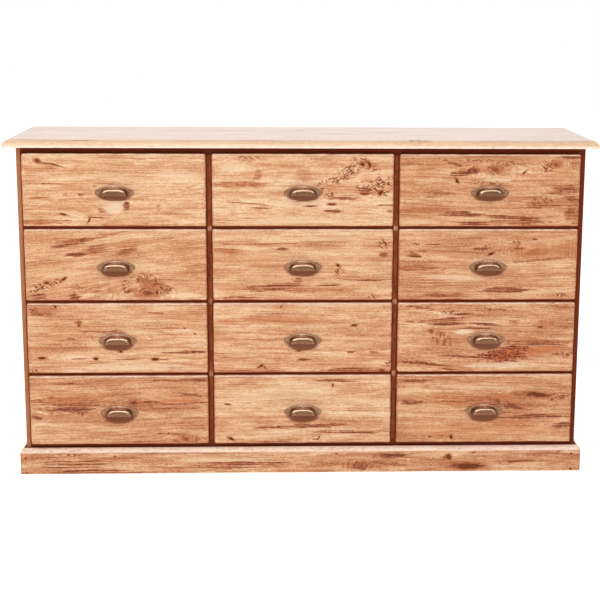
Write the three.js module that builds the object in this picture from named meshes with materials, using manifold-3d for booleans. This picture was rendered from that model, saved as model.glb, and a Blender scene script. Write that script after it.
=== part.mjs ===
// A three-column, four-row chest of drawers in solid pine, in millimetres, +Z up.
// The origin is on the floor under the middle of the overall box; the drawers open towards -Y.
import * as THREE from "three";
import { mergeVertices } from "three/addons/utils/BufferGeometryUtils.js";
import Module from "manifold-3d";

// ---- driving dimensions -------------------------------------------------------------------
const GAP = 0.3; // clearance left between pieces that touch on the real object
const COLUMNS = 3;
const ROWS = 4;

const TOP = { width: 1600, thickness: 22, frontOverhang: 32, nose: 17, noseDepth: 19, underNose: 4 };
const CARCASS = { width: 1536, height: 910, depth: 398, board: 22 };
const PLINTH = { height: 74, thickness: 16, chamferDown: 14, chamferIn: 13, softening: 5 };
const FRONT = { width: 491, height: 197, thickness: 18, edgeRadius: 5, setOff: 0.4 };
const PITCH_X = 506.75; // between drawer centres, side by side
const PITCH_Z = 204; // between drawer centres, one above another
const TOP_REVEAL = 15.5; // face of the top rail left showing above the upper drawers
const RAIL = { thickness: 18, depth: 45, runner: 60 };
const TOP_RAIL = { thickness: 20, depth: 45 };
const BASE_RAIL = 20; // thickness of the rails under the bottom panel
const BACK_PANEL = { thickness: 9, bottom: 30 };
const TRAY = { width: 478, height: 172, depth: 372, side: 12, bottom: 6, bottomUp: 10, lift: 0.5 };
const CUP = { halfWidth: 36, reach: 22, rise: 21, skirt: 7, wall: 2 }; // skirt: upright part over the lip
const PLATE = { halfWidth: 45, rise: 27, thickness: 2.5, earX: 44, earZ: 8, earRadius: 8 };
const LIP_DROP = 14; // from the middle of a drawer front down to its cup's lip
const CROWN_STEPS = 4; // facets from the cup's skirt to its crown
const TURN_STEPS = 24; // facets round a whole bell
const PLATE_STEPS = 7; // facets on each arc of the plate
const EDGE_STEPS = 5; // facets on a moulded or rounded edge

// ---- positions worked out from them ---------------------------------------------------------
const frontReach = FRONT.setOff + FRONT.thickness + GAP + CUP.reach;
const faceY = -(CARCASS.depth - frontReach) / 2; // the carcass's front plane
const halfCarcass = CARCASS.width / 2;
const insideX = halfCarcass - CARCASS.board; // inner face of a side panel
const partitionX = PITCH_X / 2;
const insideDepth = CARCASS.depth - BACK_PANEL.thickness - GAP;
const topRowZ = CARCASS.height - TOP_REVEAL - FRONT.height / 2; // middle of the upper drawers
const rowZ = (row) => topRowZ - row * PITCH_Z;
const levelZ = (row) => rowZ(row) - PITCH_Z / 2; // middle of the rail under a row
const columnX = (column) => (column - (COLUMNS - 1) / 2) * PITCH_X;
const topRailZ = CARCASS.height - GAP - TOP_RAIL.thickness;

// The clear space between two uprights, as its left and right faces.
function bay(column) {
  const walls = [-insideX, -partitionX, partitionX, insideX];
  const half = CARCASS.board / 2;
  const left = column === 0 ? walls[0] : walls[column] + half;
  const right = column === COLUMNS - 1 ? walls[COLUMNS] : walls[column + 1] - half;
  return { left, right, middle: (left + right) / 2, width: right - left };
}

// ---- materials ------------------------------------------------------------------------------
const wood = (color, roughness) => new THREE.MeshStandardMaterial({ color, roughness, metalness: 0 });
const stainedPine = wood(0xd79a68, 0.5);
const rawPine = wood(0xdcb88a, 0.7);
const plyBoard = wood(0xcfae82, 0.75);
const agedBrass = new THREE.MeshStandardMaterial({ color: 0x7d6653, roughness: 0.4, metalness: 0.9 });

// ---- solids: joining and cutting ------------------------------------------------------------
const wasm = await Module();
wasm.setup();

function toSolid(geometry) {
  const bare = geometry.clone();
  for (const name of Object.keys(bare.attributes)) if (name !== "position") bare.deleteAttribute(name);
  const merged = mergeVertices(bare, 1e-4);
  const mesh = new wasm.Mesh({
    numProp: 3,
    vertProperties: new Float32Array(merged.attributes.position.array),
    triVerts: new Uint32Array(merged.index.array),
  });
  return new wasm.Manifold(mesh);
}

function toGeometry(solid) {
  const mesh = solid.getMesh();
  const geometry = new THREE.BufferGeometry();
  geometry.setAttribute("position", new THREE.BufferAttribute(new Float32Array(mesh.vertProperties), 3));
  geometry.setIndex(new THREE.BufferAttribute(new Uint32Array(mesh.triVerts), 1));
  geometry.computeVertexNormals();
  return geometry;
}

const joined = (geometries) => toGeometry(geometries.map(toSolid).reduce((all, one) => all.add(one)));
const common = (a, b) => toGeometry(toSolid(a).intersect(toSolid(b)));
const cut = (a, b) => toGeometry(toSolid(a).subtract(toSolid(b)));

// A box between two corners.
function block([x0, y0, z0], [x1, y1, z1]) {
  const box = new THREE.BoxGeometry(x1 - x0, y1 - y0, z1 - z0);
  return box.translate((x0 + x1) / 2, (y0 + y1) / 2, (z0 + z1) / 2);
}

// A section drawn as (across, up), run along X or along Y between two stations.
function run(section, from, to) {
  const length = { depth: to - from, bevelEnabled: false, curveSegments: EDGE_STEPS };
  return new THREE.ExtrudeGeometry(section, length);
}
function runAlongX(section, from, to) {
  return run(section, from, to).rotateX(Math.PI / 2).rotateZ(Math.PI / 2).translate(from, 0, 0);
}
function runAlongY(section, from, to) {
  return run(section, from, to).rotateX(Math.PI / 2).translate(0, to, 0);
}

// ---- the scene graph ------------------------------------------------------------------------
const dresser = new THREE.Group();
dresser.position.y = faceY; // every piece below is placed from the carcass's front plane

function place(name, geometry, material, parent = dresser) {
  const mesh = new THREE.Mesh(geometry, material);
  mesh.name = name;
  parent.add(mesh);
  return mesh;
}

// ---- the top, thumb-moulded along the front and both ends, square at the back -----------------
// The slab's outline as (across, up), moulded at one edge and square at the other.
function mouldedSection(mouldedEdge, squareEdge) {
  const { thickness, nose, noseDepth, underNose } = TOP;
  const under = CARCASS.height;
  const section = new THREE.Shape();
  section.moveTo(squareEdge, under);
  section.lineTo(squareEdge, under + thickness);
  section.lineTo(mouldedEdge + noseDepth, under + thickness);
  section.absellipse(mouldedEdge + noseDepth, under + thickness - nose, noseDepth, nose,
    Math.PI / 2, Math.PI, false);
  section.absarc(mouldedEdge + underNose, under + underNose, underNose, Math.PI, 1.5 * Math.PI, false);
  section.closePath();
  return section;
}

function topPanel() {
  const half = TOP.width / 2;
  const front = -TOP.frontOverhang;
  const back = CARCASS.depth;
  const leftRun = runAlongY(mouldedSection(-half, half), front, back);
  const rightRun = leftRun.clone().rotateZ(Math.PI).translate(0, front + back, 0);
  const frontRun = runAlongX(mouldedSection(front, back), -half, half);
  return common(common(frontRun, leftRun), rightRun);
}
place("top_panel", topPanel(), stainedPine);

// ---- uprights, panels and rails of the carcass ------------------------------------------------
const standingTop = CARCASS.height - GAP;
const bottomTop = levelZ(ROWS - 1) + RAIL.thickness / 2; // upper face of the bottom panel
const bottomUnder = bottomTop - RAIL.thickness;
const spanX = insideX - GAP;

for (const [name, side] of [["left", -1], ["right", 1]]) {
  const outer = side * halfCarcass;
  const inner = side * insideX;
  place(`${name}_side_panel`,
    block([Math.min(outer, inner), 0, 0], [Math.max(outer, inner), CARCASS.depth, standingTop]), stainedPine);
  const middle = side * partitionX;
  place(`${name}_partition`,
    block([middle - CARCASS.board / 2, 0, bottomTop + GAP],
      [middle + CARCASS.board / 2, insideDepth, topRailZ - GAP]), stainedPine);
}
place("bottom_panel", block([-spanX, 0, bottomUnder], [spanX, insideDepth, bottomTop]), stainedPine);
place("back_panel",
  block([-spanX, CARCASS.depth - BACK_PANEL.thickness, BACK_PANEL.bottom],
    [spanX, CARCASS.depth, standingTop]), plyBoard);
place("top_front_rail",
  block([-spanX, 0, topRailZ], [spanX, TOP_RAIL.depth, topRailZ + TOP_RAIL.thickness]), stainedPine);
place("top_rear_rail",
  block([-spanX, insideDepth - TOP_RAIL.depth, topRailZ],
    [spanX, insideDepth, topRailZ + TOP_RAIL.thickness]), rawPine);
place("base_front_rail", block([-spanX, 0, 0], [spanX, BASE_RAIL, bottomUnder - GAP]), rawPine);
place("base_rear_rail",
  block([-spanX, insideDepth - BASE_RAIL, 0], [spanX, insideDepth, bottomUnder - GAP]), rawPine);

// ---- runner frames: front rail, rear rail, two side runners and a middle one ------------------
function runnerFrame(column, row) {
  const { left, right, middle } = bay(column);
  const z0 = levelZ(row) - RAIL.thickness / 2;
  const z1 = z0 + RAIL.thickness;
  const x0 = left + GAP;
  const x1 = right - GAP;
  const rail = (y0, y1) => block([x0, y0, z0], [x1, y1, z1]);
  const tenon = RAIL.depth / 2; // how far a runner reaches into each rail
  const runner = (from) => block([from, tenon, z0], [from + RAIL.runner, insideDepth - tenon, z1]);
  return joined([
    rail(0, RAIL.depth),
    rail(insideDepth - RAIL.depth, insideDepth - GAP),
    runner(x0),
    runner(middle - RAIL.runner / 2),
    runner(x1 - RAIL.runner),
  ]);
}
for (let row = 0; row < ROWS - 1; row++) {
  for (let column = 0; column < COLUMNS; column++) {
    place(`runner_frame_r${row + 1}c${column + 1}`, runnerFrame(column, row), rawPine);
  }
}

// ---- the plinth: three chamfered boards, mitred at the front corners --------------------------
// The board's section as (across, up), its back at 0; facing is the sign of its outward side.
function plinthSection(facing) {
  const { height, thickness, chamferDown, chamferIn, softening } = PLINTH;
  const outline = [
    [GAP, 0],
    [GAP, height],
    [thickness - chamferIn, height],
    [thickness - softening, height - chamferDown + softening],
    [thickness, height - chamferDown - softening],
    [thickness, 0],
  ];
  return new THREE.Shape(outline.map(([out, up]) => new THREE.Vector2(facing * out, up)));
}

// An upright prism over the plan of a board with mitred ends.
function prism(corners) {
  const plan = new THREE.Shape(corners.map(([x, y]) => new THREE.Vector2(x, y)));
  return new THREE.ExtrudeGeometry(plan, { depth: PLINTH.height, bevelEnabled: false });
}

const plinthX = halfCarcass + PLINTH.thickness; // outer face of a side board
const shy = GAP / Math.SQRT2; // each board stops this much short of the mitre line
place("plinth_front", common(
  runAlongX(plinthSection(-1), -plinthX, plinthX),
  prism([
    [shy - plinthX, -PLINTH.thickness],
    [plinthX - shy, -PLINTH.thickness],
    [halfCarcass - shy, 0],
    [shy - halfCarcass, 0],
  ]),
), stainedPine);

for (const [name, side] of [["left", -1], ["right", 1]]) {
  const board = runAlongY(plinthSection(side), -PLINTH.thickness, CARCASS.depth);
  board.translate(side * halfCarcass, 0, 0);
  const plan = prism([
    [side * halfCarcass, shy],
    [side * plinthX, shy - PLINTH.thickness],
    [side * plinthX, CARCASS.depth],
    [side * halfCarcass, CARCASS.depth],
  ]);
  place(`plinth_${name}`, common(board, plan), stainedPine);
}

// ---- one drawer: front, tray and cup pull -----------------------------------------------------
// A board whose four front edges are rounded: the common part of two rounded sections.
function roundedSection(halfHeight) {
  const { thickness, edgeRadius } = FRONT;
  const section = new THREE.Shape();
  section.moveTo(0, -halfHeight);
  section.lineTo(0, halfHeight);
  section.lineTo(edgeRadius - thickness, halfHeight);
  section.absarc(edgeRadius - thickness, halfHeight - edgeRadius, edgeRadius, Math.PI / 2, Math.PI, false);
  section.absarc(edgeRadius - thickness, edgeRadius - halfHeight, edgeRadius, Math.PI, 1.5 * Math.PI, false);
  section.closePath();
  return section;
}
function drawerFront() {
  const halfWidth = FRONT.width / 2;
  const halfHeight = FRONT.height / 2;
  const level = runAlongX(roundedSection(halfHeight), -halfWidth, halfWidth);
  const upright = runAlongX(roundedSection(halfWidth), -halfHeight, halfHeight).rotateY(Math.PI / 2);
  return common(level, upright);
}
const DRAWER_FRONT = drawerFront();

// Two sides, a back and a bottom, open at the front, where the drawer front closes it.
function tray() {
  const { width, height, depth, side, bottom, bottomUp } = TRAY;
  const half = width / 2;
  return joined([
    block([-half, 0, 0], [side - half, depth, height]),
    block([half - side, 0, 0], [half, depth, height]),
    block([-half, depth - side, 0], [half, depth, height]),
    block([-half + side / 2, 0, bottomUp], [half - side / 2, depth - side / 2, bottomUp + bottom]),
  ]);
}
const TRAY_BOX = tray();

// One bell, standing on its lip and as wide as it is deep, then stretched sideways to its half width.
function bell(reach, halfWidth, rise, below) {
  const { skirt } = CUP;
  const crown = Array.from({ length: CROWN_STEPS }, (_, i) => {
    const angle = (i / CROWN_STEPS) * (Math.PI / 2);
    return new THREE.Vector2(reach * Math.cos(angle), skirt + (rise - skirt) * Math.sin(angle));
  });
  const profile = [
    new THREE.Vector2(0, -below),
    new THREE.Vector2(reach, -below),
    ...crown,
    new THREE.Vector2(0, rise),
  ];
  return new THREE.LatheGeometry(profile, TURN_STEPS).rotateX(Math.PI / 2).scale(halfWidth / reach, 1, 1);
}

// The plate that the cup stands out of: an arch with a round ear for a screw at each end.
function pullPlate() {
  const { halfWidth, rise, thickness, earX, earZ, earRadius } = PLATE;
  const earTurn = Math.PI / 3; // where the ear's round stops
  const archStart = Math.PI / 5; // where the arch takes over from it
  const plate = new THREE.Shape();
  plate.absarc(earX, earZ, earRadius, -Math.PI / 2, earTurn, false);
  plate.absellipse(0, 0, halfWidth, rise, archStart, Math.PI - archStart, false);
  plate.absarc(-earX, earZ, earRadius, Math.PI - earTurn, 1.5 * Math.PI, false);
  plate.closePath();
  const sheet = { depth: thickness, bevelEnabled: false, curveSegments: PLATE_STEPS };
  return new THREE.ExtrudeGeometry(plate, sheet).rotateX(Math.PI / 2);
}

// A cup pull: half a bell on the plate, hollow, and open below and behind.
function cupPull() {
  const { halfWidth, reach, rise, wall } = CUP;
  const far = 2 * halfWidth;
  const outer = bell(reach, halfWidth, rise, 0);
  const inner = bell(reach - wall, halfWidth - wall, rise - wall, wall);
  const behind = block([-far, 0, -far], [far, far, far]);
  return cut(cut(joined([outer, pullPlate()]), inner), behind);
}
const CUP_PULL = cupPull();

for (let row = 0; row < ROWS; row++) {
  for (let column = 0; column < COLUMNS; column++) {
    const label = `r${row + 1}c${column + 1}`;
    const drawer = new THREE.Group();
    drawer.position.set(columnX(column), 0, rowZ(row));
    dresser.add(drawer);
    place(`drawer_front_${label}`, DRAWER_FRONT, stainedPine, drawer).position.y = -FRONT.setOff;
    const trayMesh = place(`drawer_tray_${label}`, TRAY_BOX, rawPine, drawer);
    trayMesh.position.set(
      bay(column).middle - columnX(column),
      GAP - FRONT.setOff,
      levelZ(row) + RAIL.thickness / 2 + TRAY.lift - rowZ(row),
    );
    const pull = place(`cup_pull_${label}`, CUP_PULL, agedBrass, drawer);
    pull.position.set(0, -FRONT.setOff - FRONT.thickness - GAP, -LIP_DROP);
  }
}

export default dresser;
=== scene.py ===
"""Looks of a rustic pine chest of drawers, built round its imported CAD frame. Metres, Z up."""
import math
from collections import namedtuple

import bmesh
import bpy
from mathutils import Matrix, Vector, noise


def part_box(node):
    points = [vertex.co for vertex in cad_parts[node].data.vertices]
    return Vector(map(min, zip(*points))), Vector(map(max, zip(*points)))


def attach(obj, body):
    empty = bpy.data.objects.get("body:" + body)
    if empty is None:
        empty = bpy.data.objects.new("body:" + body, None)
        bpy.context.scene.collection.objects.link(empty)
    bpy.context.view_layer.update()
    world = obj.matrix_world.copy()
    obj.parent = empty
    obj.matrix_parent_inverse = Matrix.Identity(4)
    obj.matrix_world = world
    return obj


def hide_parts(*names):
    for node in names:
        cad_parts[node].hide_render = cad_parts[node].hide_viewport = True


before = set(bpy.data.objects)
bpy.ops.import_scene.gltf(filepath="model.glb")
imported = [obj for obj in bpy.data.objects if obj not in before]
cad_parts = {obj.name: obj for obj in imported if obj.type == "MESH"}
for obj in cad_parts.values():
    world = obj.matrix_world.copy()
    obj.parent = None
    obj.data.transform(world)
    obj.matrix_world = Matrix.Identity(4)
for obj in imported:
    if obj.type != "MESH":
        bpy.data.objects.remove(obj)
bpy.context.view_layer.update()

# ---- sizes, in metres ----------------------------------------------------------------------------
MM = 0.001
COLUMNS = (1, 2, 3)
ROWS = (1, 2, 3, 4)
FRONT_ROUND = 5 * MM  # rounding of a drawer front's face edges
FRONT_CORNER = 5 * MM  # rounding of its four corners, seen from the front
EASE = 1.2 * MM  # rounding of the other boards' edges
SLICE = 24 * MM  # longest stretch of a visible edge between two cross-cuts
FRONT_SLICE = 15 * MM  # the same for a drawer front
TRAY_SIDE = 12 * MM
TRAY_BOTTOM = 6 * MM
TRAY_BOTTOM_UP = 10 * MM
RAIL_DEPTH = 45 * MM
RUNNER_WIDTH = 60 * MM
BACK_BOARD = 95 * MM
BACK_GROOVE = 2.2 * MM
BOARD_RUB = 0.5 * MM  # how far a board's edges are rubbed in
FRONT_RUB = 2.8 * MM  # the same for a drawer front
FRONT_RUB_REACH = 12 * MM  # and how far onto its face that goes
SHARP = math.radians(38)  # edges that turn more than this are shaded as corners
HAIR = 0.2 * MM  # gap kept between boards that are glued together

CARCASS_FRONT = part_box("left_side_panel")[0][1]
CROSSINGS = [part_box(f"drawer_front_r{row}c1")[1][2] for row in ROWS[1:]]


def node_box(name):
    """The lowest and highest corners of a CAD node, as vectors."""
    low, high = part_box(name)
    return Vector(low), Vector(high)


def middle_x(name):
    return sum(corner.x for corner in node_box(name)) / 2


# ---- material building: surface values that combine by arithmetic --------------------------------
class Field:
    """A number, vector or colour that varies over a surface; arithmetic on it adds nodes."""

    def __init__(self, socket):
        self.socket = socket
        self.tree = socket.id_data

    def _with(self, operation, first, second):
        return node(self.tree, "Math", (first, second), operation=operation)

    def __add__(self, other):
        return self._with("ADD", self, other)

    def __radd__(self, other):
        return self._with("ADD", other, self)

    def __sub__(self, other):
        return self._with("SUBTRACT", self, other)

    def __rsub__(self, other):
        return self._with("SUBTRACT", other, self)

    def __mul__(self, other):
        return self._with("MULTIPLY", self, other)

    def __rmul__(self, other):
        return self._with("MULTIPLY", other, self)

    def __truediv__(self, other):
        return self._with("DIVIDE", self, other)

    def __rtruediv__(self, other):
        return self._with("DIVIDE", other, self)


def feed(socket, value):
    """Link a field to a socket, or set the socket's own value."""
    if isinstance(value, Field):
        socket.id_data.links.new(value.socket, socket)
    else:
        socket.default_value = value


def node(tree, kind, inputs, output=0, **settings):
    """Add a shader node, set and feed it, and return one of its outputs as a field."""
    made = tree.nodes.new("ShaderNode" + kind)
    for key, value in settings.items():
        setattr(made, key, value)
    pairs = inputs.items() if isinstance(inputs, dict) else enumerate(inputs)
    for key, value in pairs:
        feed(made.inputs[key], value)
    return Field(made.outputs[output])


def larger(first, second):
    return node(first.tree, "Math", (first, second), operation="MAXIMUM")


def limited(field):
    return node(field.tree, "Math", (field, 0.0), operation="ADD", use_clamp=True)


def root(field):
    return node(field.tree, "Math", (field, 0.5), operation="POWER")


def fraction(field):
    return node(field.tree, "Math", (field, 0.0), operation="FRACT")


def step(field, zero_at, one_at):
    """0 to 1 as the field goes from zero_at to one_at, with soft ends."""
    inputs = {"Value": field, "From Min": zero_at, "From Max": one_at}
    return node(field.tree, "MapRange", inputs, interpolation_type="SMOOTHSTEP")


def vector(x, y, z):
    tree = next(part.tree for part in (x, y, z) if isinstance(part, Field))
    return node(tree, "CombineXYZ", (x, y, z))


def grains(point, sizes, shift, detail, roughness=0.5):
    """Noise from 0 to 1 whose features have the given sizes along the three grain directions."""
    scale = tuple(1.0 / size for size in sizes)
    inputs = {"Vector": point, "Scale": scale, "Location": (shift, shift * 0.7, shift * 1.3)}
    placed = node(point.tree, "Mapping", inputs)
    inputs = {"Vector": placed, "Scale": 1.0, "Detail": detail, "Roughness": roughness}
    return node(point.tree, "TexNoise", inputs)


def leaning(point, degrees):
    """The point in directions turned by an angle within the board's face."""
    inputs = {"Vector": point, "Rotation": (0, 0, math.radians(degrees))}
    return node(point.tree, "Mapping", inputs)


def tint(red, green, blue):
    """A colour given in screen levels from 0 to 255, as the linear value that shaders take."""
    def linear(level):
        share = level / 255
        return share / 12.92 if share <= 0.04045 else ((share + 0.055) / 1.055) ** 2.4
    return (linear(red), linear(green), linear(blue), 1.0)


def blend_colour(amount, under, over):
    """The second colour laid on the first."""
    tree = amount.tree
    mix = tree.nodes.new("ShaderNodeMix")
    mix.data_type = "RGBA"
    feed(mix.inputs[0], amount)
    feed(mix.inputs[6], under)
    feed(mix.inputs[7], over)
    return Field(mix.outputs[2])


def colour_ramp(field, stops):
    """Colours that follow the field from 0 to 1; stops are (place, colour)."""
    made = field.tree.nodes.new("ShaderNodeValToRGB")
    elements = made.color_ramp.elements
    for place, _ in stops[1:-1]:
        elements.new(place)
    for element, (_, colour) in zip(elements, stops):
        element.color = colour
    feed(made.inputs[0], field)
    return Field(made.outputs[0])


def new_material(name):
    material = bpy.data.materials.new(name)
    material.use_nodes = True
    tree = material.node_tree
    shader = tree.nodes["Principled BSDF"]
    return material, tree, shader


def bump(height, distance, strength=1.0):
    inputs = {"Height": height, "Distance": distance, "Strength": strength}
    return node(height.tree, "Bump", inputs)


# ---- pine ----------------------------------------------------------------------------------------
Face = namedtuple("Face", "left right bottom top surface")
Mark = namedtuple("Mark", "kind across down long high tilt strength", defaults=(0, 1.0))
Pine = namedtuple("Pine", "tones level contrast redness gloss shine coat")
DIM_ROOM = 0.35  # brightness of the room in front of the furniture
GRAIN_AXES = {"X": (0, 2, 1), "Y": (1, 2, 0), "SIDE": (2, 1, 0), "BACK": (2, 0, 1), "TOP": (0, 1, 2)}
RING = 6.0  # width of a year of growth, in millimetres
PITH_DEPTH = 45.0  # how far the tree's heart lies behind a board's face, in millimetres
COAT_ROUGHNESS = 0.22

STAINED = Pine(
    tones=(
        (0.00, tint(98, 46, 26)),
        (0.18, tint(142, 80, 50)),
        (0.36, tint(186, 121, 83)),
        (0.50, tint(206, 149, 108)),
        (0.64, tint(221, 174, 133)),
        (0.80, tint(232, 196, 158)),
        (1.00, tint(239, 214, 182)),
    ),
    level=0.64,
    contrast=1.0,
    redness=0.75,
    gloss=0.46,
    shine=0.25,
    coat=0.0,
)
RAW = Pine(
    tones=(
        (0.00, tint(150, 104, 62)),
        (0.25, tint(196, 150, 100)),
        (0.50, tint(222, 184, 136)),
        (0.75, tint(236, 205, 160)),
        (1.00, tint(246, 223, 184)),
    ),
    level=0.55,
    contrast=0.6,
    redness=0.12,
    gloss=0.62,
    shine=0.3,
    coat=0.0,
)
BACK_PINE = RAW._replace(level=0.42, contrast=0.9, redness=0.2)
# the top's pine: its tones are paler, pinker and greyer than the stained pine's, partly as a painted
# reflection of the white room
TOP_PINE = Pine(
    tones=(
        (0.00, tint(140, 86, 58)),
        (0.35, tint(204, 156, 124)),
        (0.60, tint(224, 184, 152)),
        (0.80, tint(234, 200, 172)),
        (1.00, tint(244, 220, 200)),
    ),
    level=0.57,
    contrast=0.95,
    redness=0.45,
    gloss=0.36,
    shine=0.5,
    coat=0.7,
)
PLINTH_PINE = STAINED._replace(contrast=1.25, redness=0.9)
# colours of the stain, the waxed and worn places, and of painted shade and painted light
DARK = tint(88, 36, 18)
STAIN = tint(188, 114, 72)
UMBER = tint(118, 54, 29)
AMBER = tint(198, 116, 64)
CREAM = tint(238, 208, 172)
# dark waxed browns, which also stand for painted shade deep in the gaps and corners
WAX_AND_SHADE = tint(114, 50, 27)
GAP_WAX_AND_SHADE = tint(198, 104, 62)
RAIL_WAX_AND_SHADE = tint(170, 80, 46)
RIM_WAX = tint(172, 92, 54)
# painted shade along a drawer front's bottom edge, which faces down
UNDERSIDE_SHADE = tint(128, 60, 32)
# the middle of a partition's front: waxed, redder and less shaded
THIN_WAX_AND_SHADE = tint(166, 90, 56)
# painted light: the lit outer stile, and the light falling in where four drawer corners meet
LIT_STILE = tint(158, 90, 53)
LIT_CROSSING = tint(236, 178, 146)
# a drawer front's top edge: worn pale, and painted with a highlight
WORN_AND_LIT_EDGE = tint(254, 230, 212)
# painted highlight on the plinth's rounded top edge
PLINTH_HIGHLIGHT = tint(255, 230, 210)
NOSE = tint(243, 202, 162)
NOSE_STREAK = tint(204, 142, 96)
NOSE_PALE = tint(255, 238, 220)
GRAIN_LINE = tint(150, 88, 54)
SPECK = tint(116, 60, 34)
SEAM = tint(120, 66, 40)
KNOT = tint(156, 76, 40)
KNOT_HEART = tint(100, 42, 22)
KNOT_RING = tint(96, 40, 22)
FLECK = tint(108, 48, 26)
SHADE = tint(122, 58, 20)
FLAME = tint(196, 104, 56)
FLAME_DARK = tint(118, 48, 24)


def grain_point(tree, along):
    """A surface point in millimetres as (along the grain, across it, into the board)."""
    place = node(tree, "TexCoord", {}, output="Object")
    axes = [node(tree, "SeparateXYZ", (place,), output=axis) for axis in "XYZ"]
    return [axes[index] / MM for index in GRAIN_AXES[along]]


def board_face(low, high, along):
    """The reach of a board's broad face along and across its grain, and the face's depth, in mm."""
    length_axis, across_axis, depth_axis = GRAIN_AXES[along]
    spans = (low[length_axis], high[length_axis], low[across_axis], high[across_axis], low[depth_axis])
    return Face(*(span / MM for span in spans))


def mark_place(mark, area):
    """A mark's middle in millimetres, from its shares across and down its board's face."""
    across = area.left + mark.across * (area.right - area.left)
    return across, area.top - mark.down * (area.top - area.bottom)


def local_to(mark, area, face):
    """The face point as seen from the mark: its outline lies at distance 1."""
    middle_x, middle_z = mark_place(mark, area)
    inputs = {
        "Vector": face,
        "Location": (middle_x, middle_z, 0),
        "Rotation": (0, 0, math.radians(mark.tilt)),
        "Scale": (mark.long, mark.high, 1),
    }
    return node(face.tree, "Mapping", inputs, vector_type="TEXTURE")


def length(point):
    return node(point.tree, "VectorMath", (point,), output="Value", operation="LENGTH")


def parted_by(knot, area, face, across):
    """The across coordinate with the grain lines pushed round a knot."""
    middle = mark_place(knot, area)[1]
    reach = length(local_to(knot._replace(long=1.6 * knot.long), area, face))
    share = 1.0 / larger(reach * reach, 1.0)
    return across - (across - middle) * share


class Grain:
    """The pattern fields of one board, in the directions of its grain."""

    def __init__(self, tree, along, shift, area, marks, lean, staves):
        length_mm, across_mm, depth_mm = grain_point(tree, along)
        self.seam = None
        self.stave_tone = 0.0
        face_across = across_mm
        if staves:
            stave = across_mm / staves + shift
            within = fraction(stave)
            chance = node(tree, "TexWhiteNoise", {"W": stave - within}, noise_dimensions="1D")
            length_mm = length_mm + 900.0 * chance
            across_mm = across_mm + 400.0 * chance
            self.stave_tone = 0.12 * (chance - 0.5)
            self.seam = step(within, 0.005, 0.0)
        plain = vector(length_mm, across_mm, depth_mm)
        drift = grains(plain, (300, 70, 70), shift, 2.0)
        ripple = grains(plain, (50, 14, 14), shift + 3, 1.0)
        self.rough = grains(plain, (16, 5, 5), shift + 5, 4.0, 0.65) - 0.5
        across = across_mm + lean * length_mm + 14.0 * drift + 1.4 * ripple
        self.face = vector(length_mm + 18.0 * self.rough, face_across + 5.0 * (ripple - 0.5), 0.0)
        for mark in marks:
            if mark.kind in ("knot", "swirl"):
                across = parted_by(mark, area, self.face, across)
        point = vector(length_mm, across, depth_mm)
        self.fields = grains(plain, (190, 42, 42), shift + 7, 4.0, 0.6) - 0.5
        self.band = grains(point, (420, 15, 15), shift + 11, 3.0) - 0.5
        self.streak = grains(point, (110, 2.9, 2.9), shift + 13, 4.0, 0.66) - 0.5
        self.fibre = grains(point, (6.5, 2.3, 2.3), shift + 17, 3.0, 0.75) - 0.5
        self.line = grains(point, (170, 2.4, 2.4), shift + 19, 3.0, 0.6)
        self.patch = grains(plain, (90, 14, 14), shift + 23, 5.0, 0.68)
        self.chatter = grains(plain, (9, 20, 20), shift + 29, 2.0) - 0.5
        rising = grains(leaning(plain, 40.0), (11, 3.4, 3.4), shift + 37, 2.0)
        falling = grains(leaning(plain, -34.0), (11, 3.4, 3.4), shift + 41, 2.0)
        self.slash = larger(rising, falling - 0.02)
        self.fleck = grains(plain, (7.0, 2.2, 2.2), shift + 31, 1.0)
        heart = (area.bottom + area.top) / 2 + 60.0 * math.sin(shift)
        sideways = across - (heart + 12.0)
        inward = depth_mm + (PITH_DEPTH - area.surface)
        pith = root(sideways * sideways + inward * inward)
        ring = fraction((pith + 9.0 * self.band) / RING)
        self.latewood = step(ring, 0.35, 0.92) * step(ring, 1.0, 0.96)
        self.uneven = limited(0.5 + 4.5 * self.streak + 1.3 * self.chatter + 1.8 * self.fibre)
        self.fringe = 3.4 * self.streak + 2.2 * (self.patch - 0.5) + 1.6 * self.rough


def soaked(amount, colour):
    """Wood that took up stain: reddish where there is little of it, deep brown where it gathered."""
    colour = blend_colour(limited(amount * 1.9), colour, STAIN)
    return blend_colour(step(amount, 0.3, 1.05), colour, UMBER)


def draw_knot(knot, area, grain, colour):
    """A ringed knot with a dark heart and rim, in a reddish halo drawn out along the grain."""
    halo = knot._replace(long=2.6 * knot.long, high=1.6 * knot.high)
    glow = step(length(local_to(halo, area, grain.face)) - 0.4 * grain.fringe, 1.0, 0.3)
    colour = soaked(glow * (0.5 * knot.strength), colour)
    reach = length(local_to(knot, area, grain.face)) + 0.7 * grain.rough
    rings = fraction(reach * 2.6 + grain.rough)
    heart = blend_colour(step(reach, 0.7, 0.1), KNOT, KNOT_HEART)
    ringed = blend_colour(step(rings, 0.3, 1.0) * 0.6, heart, KNOT_RING)
    return blend_colour(step(reach, 1.1, 0.9) * knot.strength, colour, ringed)


def draw_swirl(swirl, area, grain, colour):
    """Reddish rings of grain round a knot that lies just below the face."""
    reach = length(local_to(swirl, area, grain.face)) + 1.1 * grain.rough
    rings = fraction(reach * 3.2 + 1.4 * grain.rough)
    near = step(reach, 1.35, 0.2)
    drawn = (0.35 + 0.85 * step(rings, 0.3, 0.9)) * (0.6 + 0.5 * grain.uneven)
    return soaked(near * drawn * swirl.strength, colour)


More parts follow.
